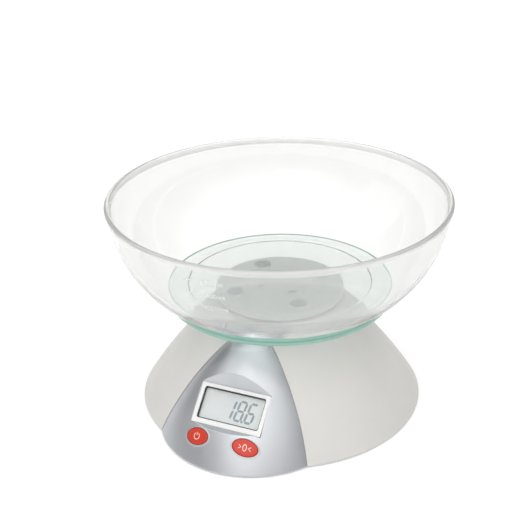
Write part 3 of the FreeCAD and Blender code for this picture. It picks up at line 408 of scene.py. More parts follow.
@dataclass(frozen=True)
class Elastomer(Finish):
    """Rubber, silicone or soft sealant with a dusty, uneven skin."""

    roughness: float = 0.7
    sheen: float = 0.15

    def wire(self, bench: SurfaceBench) -> None:
        """Joins the finish's nodes.

        Args:
            bench: The bench of the new material.
        """
        dust = bench.spread(bench.noise(4 * MM, 5.0), 0.0, 1.0, 0.4, 0.75)
        sockets = {
            "Base Color": bench.tint(dust, shade(self.colour, 0.92), shade(self.colour, 1.18)),
            "Roughness": bench.spread(dust, self.roughness - 0.08, self.roughness + 0.08, 0.0, 1.0),
            "Normal": bench.relief(bench.noise(0.5 * MM, 2.0), 0.01 * MM,
                                   bench.soft_edge(0.3 * MM)[0]),
            "Sheen Weight": self.sheen,
        }
        bench.show(sockets)


@dataclass(frozen=True)
class Ink(Finish):
    """Printed or etched marks, a little uneven in density."""

    roughness: float = 0.5
    glow: float = 0.0

    def wire(self, bench: SurfaceBench) -> None:
        """Joins the finish's nodes.

        Args:
            bench: The bench of the new material.
        """
        patches = bench.spread(bench.noise(1.2 * MM, 3.0), 0.0, 1.0)
        sockets = {
            "Base Color": bench.tint(patches, shade(self.colour, 0.94), shade(self.colour, 1.06)),
            "Roughness": bench.spread(patches, self.roughness - 0.05, self.roughness + 0.05,
                                      0.0, 1.0),
            "Normal": bench.relief(bench.noise(0.3 * MM, 1.0), 0.002 * MM),
            "Emission Color": (1.0, 1.0, 1.0, 1.0),
            "Emission Strength": self.glow,
        }
        bench.show(sockets)


@dataclass(frozen=True)
class LiquidCrystal(Finish):
    """Grey-green reflector of a display, with the faint rub lines of its polariser and a faint
    painted glow, though no lamp lights it.
    """

    def wire(self, bench: SurfaceBench) -> None:
        """Joins the finish's nodes.

        Args:
            bench: The bench of the new material.
        """
        lines = bench.noise(0.3 * MM, 2.0, (0.05, 1.0, 1.0))
        cloud = bench.spread(bench.noise(24 * MM, 1.0), 0.0, 1.0)
        sockets = {
            "Base Color": bench.tint(cloud, shade(self.colour, 0.97), shade(self.colour, 1.02)),
            "Roughness": bench.spread(lines, 0.42, 0.52),
            "Normal": bench.relief(lines, 0.001 * MM),
            # painted light: the reflector glows faintly in its own colour, with no lamp behind it
            "Emission Color": shade(self.colour, 1.0),
            "Emission Strength": 0.12,
        }
        bench.show(sockets)


@dataclass(frozen=True)
class SolderMask(Finish):
    """Green lacquer of a circuit board over its copper tracks."""

    track: Colour = (0.07, 0.36, 0.15)
    mesh_per_metre: float = 320.0

    def wire(self, bench: SurfaceBench) -> None:
        """Joins the finish's nodes.

        Args:
            bench: The bench of the new material.
        """
        scale = [self.mesh_per_metre] * 3
        mapping = bench.add("ShaderNodeMapping", {"Vector": bench.place, "Scale": scale})
        cells = bench.add("ShaderNodeTexVoronoi", {"Vector": mapping.outputs[0], "Scale": 1.0},
                          feature="DISTANCE_TO_EDGE", distance="EUCLIDEAN")
        tracks = bench.spread(cells.outputs["Distance"], 1.0, 0.0, 0.05, 0.09)
        sockets = {
            "Base Color": bench.tint(tracks, shade(self.colour, 1.0), shade(self.track, 1.0)),
            "Roughness": bench.spread(bench.noise(2 * MM), 0.24, 0.34),
            "Normal": bench.relief(tracks, 0.02 * MM),
        }
        bench.show(sockets)


@dataclass(frozen=True)
class CellJacket(Finish):
    """Shrink-film jacket of a battery: a dark body with a copper-coloured band at each end."""

    band: Colour = (0.62, 0.33, 0.14)
    band_from: float = 15.5 * MM
    band_blend: float = 0.1 * MM

    def wire(self, bench: SurfaceBench) -> None:
        """Joins the finish's nodes.

        Args:
            bench: The bench of the new material.
        """
        along = bench.add("ShaderNodeSeparateXYZ", {0: bench.place}).outputs[0]
        out = bench.add("ShaderNodeMath", {0: along}, operation="ABSOLUTE").outputs[0]
        banded = bench.spread(out, 0.0, 1.0, self.band_from,
                              self.band_from + self.band_blend)
        film = bench.noise(1.5 * MM, 3.0)
        sockets = {
            "Base Color": bench.tint(banded, shade(self.colour, 1.0), shade(self.band, 1.0)),
            "Metallic": 0.6,
            "Roughness": bench.spread(film, 0.26, 0.38),
            "Normal": bench.relief(film, 0.006 * MM),
        }
        bench.show(sockets)


WHITE_SHELL = MouldedPlastic("white_abs", (0.655, 0.638, 0.615), 0.42)
COVER_WHITE = MouldedPlastic("white_abs_underside", (0.66, 0.65, 0.63), 0.5, 0.5 * MM, 0.008 * MM)
SILVER = SilverCoat("silver_lacquer", (0.58, 0.595, 0.62), 0.36)
BEZEL_WHITE = MouldedPlastic("white_bezel", (0.82, 0.82, 0.815), 0.3, 0.3 * MM, 0.002 * MM,
                             coat=0.15)
BUTTON_RED = MouldedPlastic("red_orange_key", (0.6, 0.036, 0.014), 0.36, 0.25 * MM, 0.003 * MM,
                            0.3 * MM, 0.12)
HUB_GREY = MouldedPlastic("grey_hub", (0.55, 0.55, 0.54), 0.5, 0.4 * MM, 0.008 * MM)
FRAME_WHITE = MouldedPlastic("white_frame", (0.66, 0.66, 0.64), 0.5)
CHIP_BLACK = MouldedPlastic("black_epoxy", (0.02, 0.02, 0.02), 0.55, 0.2 * MM, 0.01 * MM,
                            0.1 * MM)
WIRES = {name: MouldedPlastic(name + "_pvc", colour, 0.35, 0.8 * MM, 0.01 * MM, 0.1 * MM)
         for name, colour in (("red", (0.5, 0.02, 0.015)), ("black", (0.02, 0.02, 0.02)),
                              ("green", (0.02, 0.24, 0.06)), ("white", (0.7, 0.7, 0.68)))}
STEEL = WorkedMetal("zinc_plated_steel", (0.62, 0.62, 0.6), 0.3)
ALUMINIUM = WorkedMetal("milled_aluminium", (0.78, 0.79, 0.8), 0.32)
COPPER_PAD = WorkedMetal("tinned_pad", (0.72, 0.7, 0.66), 0.25)
BOWL_CLEAR = ClearMoulding("clear_styrene", (0.93, 0.935, 0.93), 1.46, clearness=0.9)
# painted highlight: the rim is made less clear than the wall, so its pale diffuse colour shows as a
# bright band
RIM_CLEAR = ClearMoulding("clear_styrene_rim", (0.93, 0.93, 0.925), 1.46, clearness=0.6)
LENS_CLEAR = ClearMoulding("clear_acrylic", (0.97, 0.98, 0.98), 1.4, 0.02, 0.0)
PLATE_GLASS = ClearMoulding("float_glass", (0.94, 0.99, 0.975), 1.5, 0.02, 0.0, 1.0,
                            (0.92, 0.96, 0.95))
PLATE_EDGE = GroundEdge("float_glass_edge", (0.27, 0.50, 0.42))
GASKET_BLACK = Elastomer("black_gasket", (0.018, 0.018, 0.018), 0.65)
PAD_SILICONE = Elastomer("silicone_pad", (0.66, 0.68, 0.68), 0.5)
FOOT_RUBBER = Elastomer("rubber_foot", (0.42, 0.42, 0.41), 0.75)
SEALANT = Elastomer("white_sealant", (0.74, 0.74, 0.72), 0.55)
DIFFUSER = Elastomer("white_diffuser", (0.8, 0.8, 0.78), 0.6, 0.0)
LCD_FACE = LiquidCrystal("display_reflector", (0.62, 0.64, 0.64))
SEGMENT_INK = Ink("display_segments", (0.26, 0.30, 0.33), 0.45)
BORDER_INK = Ink("window_border", (0.02, 0.02, 0.022), 0.35)
KEY_INK = Ink("key_marks", (0.92, 0.72, 0.66), 0.4)
FROST = Ink("frosted_marks", (0.78, 0.79, 0.79), 0.75)
MASK = SolderMask("solder_mask", (0.015, 0.13, 0.05))
JACKET = CellJacket("cell_jacket", (0.03, 0.04, 0.055))
CERAMIC = Ink("ceramic_part", (0.35, 0.27, 0.18), 0.5)
TABLE_PAINT = Ink("pale_table_top", (0.88, 0.88, 0.88), 0.6, 0.2)


# ================================================================== scene objects
def added(name: str, data: bpy.types.ID) -> bpy.types.Object:
    """New object of the given data, linked to the scene."""
    item = bpy.data.objects.new(name, data)
    bpy.context.scene.collection.objects.link(item)
    return item


def plain_mesh(item: bpy.types.Object) -> bpy.types.Mesh:
    """The evaluated object as a plain mesh, after which the object itself is removed."""
    ready = item.evaluated_get(bpy.context.evaluated_depsgraph_get())
    mesh = bpy.data.meshes.new_from_object(ready)
    item.modifiers.clear()
    bpy.data.objects.remove(item)
    return mesh


# ================================================================== outlines and meshes
def bulged_arc(start: Point, end: Point, bulge: float, steps: int) -> list[Point]:
    """Points of an arc after its start, standing out to the right of its chord by a bulge.

    Args:
        start: First end, which isn't repeated.
        end: Second end.
        bulge: Height of the arc over its chord, in metres.
        steps: Number of points returned.

    Returns:
        The points, the last of them the end.
    """
    first, last = Vector(start), Vector(end)
    chord = last - first
    along = chord.normalized()
    right = Vector((along.y, -along.x)) * math.copysign(1.0, bulge)
    rise = abs(bulge)
    radius = chord.length ** 2 / (8 * rise) + rise / 2
    centre = (first + last) / 2 + right * (rise - radius)
    half = math.asin(min(1.0, chord.length / 2 / radius))
    turns = [half * (2 * i / steps - 1) for i in range(1, steps + 1)]
    return [tuple(centre + (right * math.cos(turn) + along * math.sin(turn)) * radius)
            for turn in turns]


def eased(corners: list[tuple[float, float, float]], steps: int = 5) -> list[Point]:
    """Closed outline with rounded corners.

    Args:
        corners: The corners in order, each with the radius that rounds it.
        steps: Points on each rounding, after its first.

    Returns:
        The outline's points.
    """
    outline = []
    for i, (x, y, radius) in enumerate(corners):
        here = Vector((x, y))
        if radius <= 0:
            outline.append((x, y))
            continue
        back = (Vector(corners[i - 1][:2]) - here).normalized()
        ahead = (Vector(corners[(i + 1) % len(corners)][:2]) - here).normalized()
        half = back.angle(ahead) / 2
        reach = radius / math.tan(half)
        centre = here + (back + ahead).normalized() * (radius / math.sin(half))
        first, last = here + back * reach - centre, here + ahead * reach - centre
        for step in range(steps + 1):
            outline.append(tuple(centre + first.lerp(last, step / steps).normalized() * radius))
    return outline


def rounded_rectangle(half_x: float, low_y: float, high_y: float, radius: float) -> list[Point]:
    """Rectangle about x = 0 with rounded corners, anticlockwise."""
    corners = [(half_x, low_y), (half_x, high_y), (-half_x, high_y), (-half_x, low_y)]
    return eased([(x, y, radius) for x, y in corners])


def closed_mesh(name: str, points: list[Vector], faces: list[tuple[int, ...]]) -> bpy.types.Mesh:
    """Mesh with its doubles merged and its faces outwards.

    Args:
        name: The mesh's name.
        points: Its corners.
        faces: Each face's corners, by number.

    Returns:
        The closed mesh.
    """
    mesh = bpy.data.meshes.new(name)
    work = bmesh.new()
    corners = [work.verts.new(point) for point in points]
    for face in faces:
        work.faces.new([corners[i] for i in face])
    bmesh.ops.remove_doubles(work, verts=work.verts, dist=MERGE_OWN)
    bmesh.ops.recalc_face_normals(work, faces=work.faces)
    work.to_mesh(mesh)
    work.free()
    return mesh


def revolved(name: str, outline: list[Point], segments: int, ring: bool = False) -> bpy.types.Mesh:
    """Solid of revolution about the Z axis.

    Args:
        name: The mesh's name.
        outline: (radius, height) points.  Without ring its two ends lie on the axis.
        segments: Steps round the axis.
        ring: True where the outline is closed and clear of the axis.

    Returns:
        The closed mesh.
    """
    points, rows = [], []
    for radius, height in outline:
        on_axis = radius < ON_AXIS
        rows.append((len(points), on_axis))
        for i in range(1 if on_axis else segments):
            turn = 2 * math.pi * i / segments
            points.append(Vector((radius * math.cos(turn), radius * math.sin(turn), height)))
    faces = []
    for (low, low_pole), (high, high_pole) in zip(rows, rows[1:] + rows[:1] if ring else rows[1:]):
        for i in range(segments):
            j = (i + 1) % segments
            if low_pole:
                faces.append((low, high + j, high + i))
            elif high_pole:
                faces.append((low + i, low + j, high))
            else:
                faces.append((low + i, low + j, high + j, high + i))
    return closed_mesh(name, points, faces)


def lofted(name: str, loops: list[list[Vector]], ring: bool = False) -> bpy.types.Mesh:
    """Skin over loops of points.

    Args:
        name: The mesh's name.
        loops: The loops, all with the same number of points.
        ring: True where the last loop joins the first; otherwise end faces close both ends.

    Returns:
        The closed mesh.
    """
    count = len(loops[0])
    pairs = list(zip(range(len(loops)), range(1, len(loops))))
    if ring:
        pairs.append((len(loops) - 1, 0))
    faces = []
    for a, b in pairs:
        for i in range(count):
            j = (i + 1) % count
            faces.append((a * count + i, a * count + j, b * count + j, b * count + i))
    if not ring:
        faces.append(tuple(range(count)))
        faces.append(tuple(range((len(loops) - 1) * count, len(loops) * count)))
    return closed_mesh(name, [point for loop in loops for point in loop], faces)


def joined(name: str, parts: list[bpy.types.Mesh]) -> bpy.types.Mesh:
    """One mesh from several that don't touch.

    Args:
        name: The mesh's name.
        parts: The meshes.

    Returns:
        The joined mesh.
    """
    work = bmesh.new()
    for part in parts:
        work.from_mesh(part)
    mesh = bpy.data.meshes.new(name)
    work.to_mesh(mesh)
    work.free()
    return mesh


# ================================================================== repeating trees
class ShapeTree(Bench):
    """Geometry Nodes tree with named inputs, which makes plain meshes."""

    def __init__(self, name: str, main_input: str, inputs: dict[str, str]) -> None:
        """Builds the tree's inputs and its one output.

        Args:
            name: The tree's name.
            main_input: Name of its geometry input.
            inputs: Kind of socket for each further input, by name.
        """
        super().__init__(bpy.data.node_groups.new(name, "GeometryNodeTree"))
        face = self.tree.interface
        face.new_socket(main_input, in_out="INPUT", socket_type="NodeSocketGeometry")
        self.sockets = {}
        for label, kind in inputs.items():
            socket = face.new_socket(label, in_out="INPUT", socket_type="NodeSocket" + kind)
            self.sockets[label] = socket.identifier
        face.new_socket("Result", in_out="OUTPUT", socket_type="NodeSocketGeometry")
        self.given = self.add("NodeGroupInput").outputs

    def deliver(self, shapes: bpy.types.NodeSocket) -> None:
        """Makes instances real, gives them the finish and sends them out."""
        real = self.add("GeometryNodeRealizeInstances", {0: shapes}).outputs[0]
        sockets = {"Geometry": real, "Material": self.given["Finish"]}
        self.add("NodeGroupOutput", {0: self.add("GeometryNodeSetMaterial", sockets).outputs[0]})

    def run(self, carrier: bpy.types.Object, values: dict[str, object]) -> bpy.types.Mesh:
        """Runs the tree on an object, which is removed.

        Args:
            carrier: The object.
            values: The inputs' values, by name.

        Returns:
            The plain mesh.
        """
        modifier = carrier.modifiers.new("shape", "NODES")
        modifier.node_group = self.tree
        for label, value in values.items():
            modifier[self.sockets[label]] = value
        return plain_mesh(carrier)


class RepeatTree(ShapeTree):
    """Tree that sets a shape on every point, turned and stretched by the points' attributes."""

    def __init__(self) -> None:
        """Builds the tree, with inputs for the shape, its size and its finish."""
        super().__init__("repeat_on_points", "Points",
                         {"Shape": "Object", "Size": "Float", "Finish": "Material"})
        given = self.given
        shape = self.add("GeometryNodeObjectInfo", {"Object": given["Shape"]}).outputs["Geometry"]
        turn, stretch = [self.add("GeometryNodeInputNamedAttribute", {"Name": name},
                                  data_type="FLOAT_VECTOR").outputs["Attribute"]
                         for name in ("turn", "stretch")]
        rotation = self.add("FunctionNodeEulerToRotation", {0: turn}).outputs[0]
        scale = self.add("ShaderNodeVectorMath", {0: stretch, "Scale": given["Size"]},
                         operation="SCALE").outputs[0]
        self.deliver(self.add("GeometryNodeInstanceOnPoints", {
            "Points": given["Points"], "Instance": shape, "Rotation": rotation,
            "Scale": scale}).outputs[0])

    def grow(self, name: str, shape: bpy.types.Mesh, finish: Finish, places: list[Place],
             size: float = 1.0) -> bpy.types.Mesh:
        """Runs the tree.

        Args:
            name: The new mesh's name.
            shape: The shape that repeats.
            finish: The finish of every copy.
            places: A (place, turn, stretch) triple of vectors for each copy, the turn in radians.
            size: A size for all copies.

        Returns:
            The plain mesh of all copies.
        """
        points = bpy.data.meshes.new(name + "_points")
        points.from_pydata([place for place, _, _ in places], [], [])
        for column, label in ((1, "turn"), (2, "stretch")):
            values = np.array([tuple(row[column]) for row in places], np.float32).ravel()
            points.attributes.new(label, "FLOAT_VECTOR", "POINT").data.foreach_set("vector", values)
        pattern, carrier = added(name + "_pattern", shape), added(name + "_carrier", points)
        made = self.run(carrier, {"Shape": pattern, "Size": size, "Finish": finish.material()})
        bpy.data.objects.remove(pattern)
        return made


class CoilTree(ShapeTree):
    """Tree that bends round wire into a helix."""

    STEPS_PER_TURN = 40
    STEPS_ROUND_WIRE = 12

    def __init__(self) -> None:
        """Builds the tree, with inputs for the coil's turns, radius, height, wire and finish."""
        super().__init__("coil_of_wire", "Base", {
            "Turns": "Float", "Radius": "Float", "Height": "Float", "Wire": "Float",
            "Finish": "Material"})
        given = self.given
        path = self.add("GeometryNodeCurveSpiral", {
            "Resolution": self.STEPS_PER_TURN, "Rotations": given["Turns"],
            "Start Radius": given["Radius"], "End Radius": given["Radius"],
            "Height": given["Height"]}).outputs[0]
        section = self.add("GeometryNodeCurvePrimitiveCircle", {
            "Resolution": self.STEPS_ROUND_WIRE, "Radius": given["Wire"]}).outputs[0]
        self.deliver(self.add("GeometryNodeCurveToMesh", {
            "Curve": path, "Profile Curve": section, "Fill Caps": True}).outputs[0])

    def wind(self, name: str, sizes: dict[str, float], finish: Finish) -> bpy.types.Mesh:
        """Runs the tree.

        Args:
            name: The new mesh's name.
            sizes: Turns, Radius, Height and Wire.
            finish: The wire's finish.

        Returns:
            The plain mesh of one coil along +Z from the origin.
        """
        carrier = added(name + "_carrier", bpy.data.meshes.new(name + "_base"))
        return self.run(carrier, {**sizes, "Finish": finish.material()})


# ================================================================== reference surfaces
class Surface:
    """Curved outside that points can be measured from and set on."""

    def reading(self, point: Vector) -> tuple[float, Vector]:
        """How far a point stands out from the surface, and the surface's normal there."""
        raise NotImplementedError

    def settled(self, point: Vector) -> Vector:
        """The nearest point of the surface."""
        gap, normal = self.reading(point)
        return point - normal * gap


@dataclass(frozen=True)
class Flank(Surface):
    """Side of a moulding: an arc turned about an upright axis."""

    axis_y: float
    foot: Point
    top: Point
    bulge: float

    def circle(self) -> tuple[Vector, float]:
        """Centre of the arc, in radius and height, and its own radius."""
        first, last = Vector(self.foot), Vector(self.top)
        chord = last - first
        right = Vector((chord.y, -chord.x)).normalized()
        radius = chord.length_squared / (8 * self.bulge) + self.bulge / 2
        return (first + last) / 2 + right * (self.bulge - radius), radius

    def reading(self, point: Vector) -> tuple[float, Vector]:
        """How far a point stands out from the flank, and the flank's normal there."""
        centre, radius = self.circle()
        level = Vector((point.x, point.y - self.axis_y))
        out = Vector((level.length, point.z)) - centre
        gap = out.length - radius
        out.normalize()
        level.normalize()
        return gap, Vector((level.x * out.x, level.y * out.x, out.y))


@dataclass(frozen=True)
class Crown(Surface):
    """Rounded tip of a moulding: part of a ball over a circle."""

    axis_y: float
    edge: Point
    rise: float

    def reading(self, point: Vector) -> tuple[float, Vector]:
        """How far a point stands out from the crown, and the crown's normal there."""
        radius = (self.edge[0] ** 2 + self.rise ** 2) / (2 * self.rise)
        out = point - Vector((0, self.axis_y, self.edge[1] + self.rise - radius))
        return out.length - radius, out.normalized()


class DisplayPlane:
    """Plane of the display's face: x across, y up the face and n out of it."""

    UPWARDS = 0.5
    REACH = 20 * MM
    HALVINGS = 26

    def __init__(self, inset: float) -> None:
        """Finds the plane from the lens.

        Args:
            inset: Depth of the lens's outer face below the plane.
        """
        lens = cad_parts["display_window"]
        widest = max((face for face in lens.data.polygons if face.normal.z > self.UPWARDS),
                     key=lambda face: face.area)
        faces = [face for face in lens.data.polygons if face.normal.dot(widest.normal) > FLAT_WITH]
        self.out = (lens.matrix_world.to_3x3() @ widest.normal).normalized()
        self.across = Vector((1, 0, 0))
        self.up = self.out.cross(self.across)
        corners = [lens.matrix_world @ lens.data.vertices[i].co
                   for item in faces for i in item.vertices]
        low, high = [Vector([pick(c[i] for c in corners) for i in range(3)]) for pick in (min, max)]
        self.centre = (low + high) / 2 + self.out * inset

    def at(self, x: float, y: float, n: float = 0.0) -> Vector:
        """Place of a point given in the plane's own directions."""
        return self.centre + self.across * x + self.up * y + self.out * n

    def turned(self, angle: float = 0.0) -> Vector:
        """Euler angles of a shape laid on the plane and turned on it."""
        basis = Matrix((self.across, self.up, self.out)).transposed()
        return Vector((basis @ Matrix.Rotation(angle, 3, "Z")).to_euler())

    def over(self, surface: Surface, x: float, y: float, height: float) -> Vector:
        """Place straight out of the plane at a height over a surface.

        Args:
            surface: The surface.
            x: Distance across the plane.
            y: Distance up the plane.
            height: Height over the surface.

        Returns:
            The place.
        """
        low, high = -self.REACH, self.REACH
        for _ in range(self.HALVINGS):
            middle = (low + high) / 2
            if surface.reading(self.at(x, y, middle))[0] > height:
                high = middle
            else:
                low = middle
        return self.at(x, y, (low + high) / 2)


# ================================================================== pieces
def add_piece(name: str, mesh: bpy.types.Mesh, finishes: list[Finish], body: Body | None,
              stands_for: tuple[str, ...] = (), crease: float = 35.0) -> bpy.types.Object:
    """Adds a finished piece to the scene.

    Args:
        name: The piece's name.
        mesh: Its mesh, in the scale's own place.
        finishes: Its finishes, in the order of the faces' material numbers.
        body: The body that it rides on, or None for a piece tied to no body.
        stands_for: CAD nodes that it replaces.
        crease: Angle in degrees above which an edge stays sharp; 0 keeps the mesh's own shading.

    Returns:
        The new object.
    """
    mesh.name = name
    numbers = np.zeros(len(mesh.polygons), np.int32)
    mesh.polygons.foreach_get("material_index", numbers)
    mesh.materials.clear()
    for finish in finishes:
        mesh.materials.append(finish.material())
    mesh.polygons.foreach_set("material_index", np.minimum(numbers, len(finishes) - 1))
    if crease:
        mesh.shade_smooth()
        mesh.set_sharp_from_angle(angle=math.radians(crease))
    piece = added(name, mesh)
    if body:
        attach(piece, body.value)
    if stands_for:
        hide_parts(*stands_for)
    LOG.info("%s on %s: %d faces", name, body.value if body else "two bodies", len(mesh.polygons))
    return piece


def dress(finishes: dict[str, Finish]) -> None:
    """Gives each named CAD node its finish."""
    for node, finish in finishes.items():
        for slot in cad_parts[node].material_slots:
            slot.material = finish.material()
        LOG.info("%s wears %s", node, finish.name)


def merged_copy(node: str) -> bmesh.types.BMesh:
    """Copy of a CAD node's mesh in the scale's place, with its loose triangles joined up."""
    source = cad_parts[node]
    work = bmesh.new()
    work.from_mesh(source.data)
    work.transform(source.matrix_world)
    bmesh.ops.remove_doubles(work, verts=work.verts, dist=MERGE_NODE)
    bmesh.ops.recalc_face_normals(work, faces=work.faces)
    return work


def triangulated(work: bmesh.types.BMesh) -> None:
    """Cuts the faces of more than three corners into triangles."""
    bmesh.ops.triangulate(work, faces=[face for face in work.faces if len(face.verts) > 3])


def refined(node: str, surfaces: list[Surface], longest: float) -> bpy.types.Mesh:
    """Copy of a CAD node whose curved outside is cut finer and set true on its surfaces.

    Args:
        node: The node.
        surfaces: The outside surfaces.
        longest: Longest edge left on them, in metres.

    Returns:
        The copy, with the surfaces' own normals on its outside.
    """
    work = merged_copy(node)

    def outside(surface: Surface) -> set[bmesh.types.BMFace]:
        """Faces that lie on a surface and look outwards."""
        work.normal_update()
        on_it = {vert for vert in work.verts if abs(surface.reading(vert.co)[0]) < TRUE_WITHIN}
        return {face for face in work.faces if on_it.issuperset(face.verts)
                and surface.reading(face.calc_center_median())[1].dot(face.normal) > FACES_ALIKE}

    for surface in surfaces:
        for _ in range(CUTS):
            long_edges = {edge for face in outside(surface) for edge in face.edges
                          if edge.calc_length() > longest}
            if not long_edges:
                break
            made = bmesh.ops.subdivide_edges(work, edges=list(long_edges), cuts=1)["geom_inner"]
            for vert in made:
                if isinstance(vert, bmesh.types.BMVert):
                    vert.co = surface.settled(vert.co)
            triangulated(work)
    curved = {face: surface for surface in surfaces for face in outside(surface)}
    for edge in work.edges:
        first, second = edge.link_faces[0], edge.link_faces[-1]
        alike = (first in curved) == (second in curved)
        edge.smooth = alike and edge.calc_face_angle(0.0) < SHARP_FROM
    for face in work.faces:
        face.smooth = True
    work.faces.index_update()
    by_index = {face.index: surface for face, surface in curved.items()}
    mesh = bpy.data.meshes.new(node + "_fine")
    work.to_mesh(mesh)
    work.free()
    normals = [tuple(corner.vector) for corner in mesh.corner_normals]
    for index, surface in by_index.items():
        face = mesh.polygons[index]
        for loop, vert in zip(face.loop_indices, face.vertices):
            normals[loop] = tuple(surface.reading(mesh.vertices[vert].co)[1])
    mesh.normals_split_custom_set(normals)
    return mesh


def ribbon(name: str, path: list[Point], width: float, lay: object, closed: bool = False,
           height: float = 0.06 * MM) -> bpy.types.Mesh:
    """Thin strip along a path on a surface.

    Args:
        name: The mesh's name.
        path: The strip's middle line in the surface's two directions.
        width: The strip's width.
        lay: Function that turns x, y and a height over the surface into a place.
        closed: True where the path runs round to its start.
        height: How far the strip stands out of the surface; it is sunk by as much.

    Returns:
        The strip's closed mesh.
    """
    loops = []
    for i, here in enumerate(path):
        before = path[i - 1] if closed or i else here
        after = path[(i + 1) % len(path)] if closed or i + 1 < len(path) else here
        along = (Vector(after) - Vector(before)).normalized()
        side = Vector((-along.y, along.x)) * width / 2
        left, right = Vector(here) + side, Vector(here) - side
        loops.append([lay(*spot, level) for spot, level in (
            (left, height), (here, height), (right, height), (right, -height), (left, -height))])
    return lofted(name, loops, ring=closed)


# ================================================================== housing
@dataclass
class Housing:
    """White dome, its underside cover and battery door, the rubber feet and the screws."""

    repeat: RepeatTree
    foot_r: float = 102.7 * MM
    foot_z: float = 1.5 * MM
    shoulder: Point = (50.0 * MM, 67.5 * MM)
    bulge: float = 2.6 * MM
    finest: float = 3.2 * MM
    rubber_r: float = 8.0 * MM
    rubber_height: float = 2.3 * MM
    rubber_groove: float = 5.2 * MM
    rubber_edge: float = 0.5 * MM
    segments: int = 48

    def flank(self) -> Flank:
        """The dome's outside."""
        return Flank(0.0, (self.foot_r, self.foot_z), self.shoulder, self.bulge)

    def foot_mesh(self) -> bpy.types.Mesh:
        """One rubber foot standing on the origin, with a rounded rim and a groove in its sole."""
        r, h, g, soft = self.rubber_r, self.rubber_height, self.rubber_groove, self.rubber_edge
        outline = [(0, 0), (g - soft, 0), (g - soft / 2, soft / 2), (g + soft / 2, soft / 2),
                   (g + soft, 0), (r - soft, 0), (r - soft * 0.3, soft * 0.3), (r, soft), (r, h),
                   (0, h)]
        return revolved("rubber_foot", outline, self.segments)

    def feet_places(self) -> list[Place]:
        """Where the feet stand, from the islands of the feet's CAD node."""
        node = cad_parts["rubber_feet"]
        corners = [node.matrix_world @ vert.co for vert in node.data.vertices]
        places = []
        for side_x in (-1, 1):
            for side_y in (-1, 1):
                near = [c for c in corners if c.x * side_x > 0 and c.y * side_y > 0]
                middle = [(min(c[i] for c in near) + max(c[i] for c in near)) / 2 for i in range(2)]
                places.append((Vector((*middle, 0.0)), UNTURNED, FULL_SIZE))
        return places

    def build(self) -> None:
        """Builds the housing's pieces and dresses its CAD nodes."""
        shell = refined("dome_housing", [self.flank()], self.finest)
        add_piece("dome_shell", shell, [WHITE_SHELL], Body.BASE,
                  ("dome_housing",), crease=0)
        feet = self.repeat.grow("feet", self.foot_mesh(), FOOT_RUBBER, self.feet_places())
        add_piece("feet", feet, [FOOT_RUBBER], Body.BASE, ("rubber_feet",))
        dress({"base_cover": COVER_WHITE, "battery_door": COVER_WHITE, "cover_screws": STEEL})


# ================================================================== front panel
@dataclass
class FrontPanel:
    """Silver panel with the sloping display recess and the two button openings."""

    axis_y: float = -49.5 * MM
    foot: Point = (66.4 * MM, 1.5 * MM)
    tip: Point = (14.4 * MM, 66.0 * MM)
    bulge: float = 3.42 * MM
    crown: float = 3.2 * MM
    finest: float = 2.6 * MM

    def flank(self) -> Flank:
        """The panel's outside."""
        return Flank(self.axis_y, self.foot, self.tip, self.bulge)

    def build(self) -> None:
        """Builds the panel."""
        surfaces = [self.flank(), Crown(self.axis_y, self.tip, self.crown)]
        mesh = refined("front_panel", surfaces, self.finest)
        add_piece("silver_panel", mesh, [SILVER], Body.BASE,
                  ("front_panel",), crease=0)


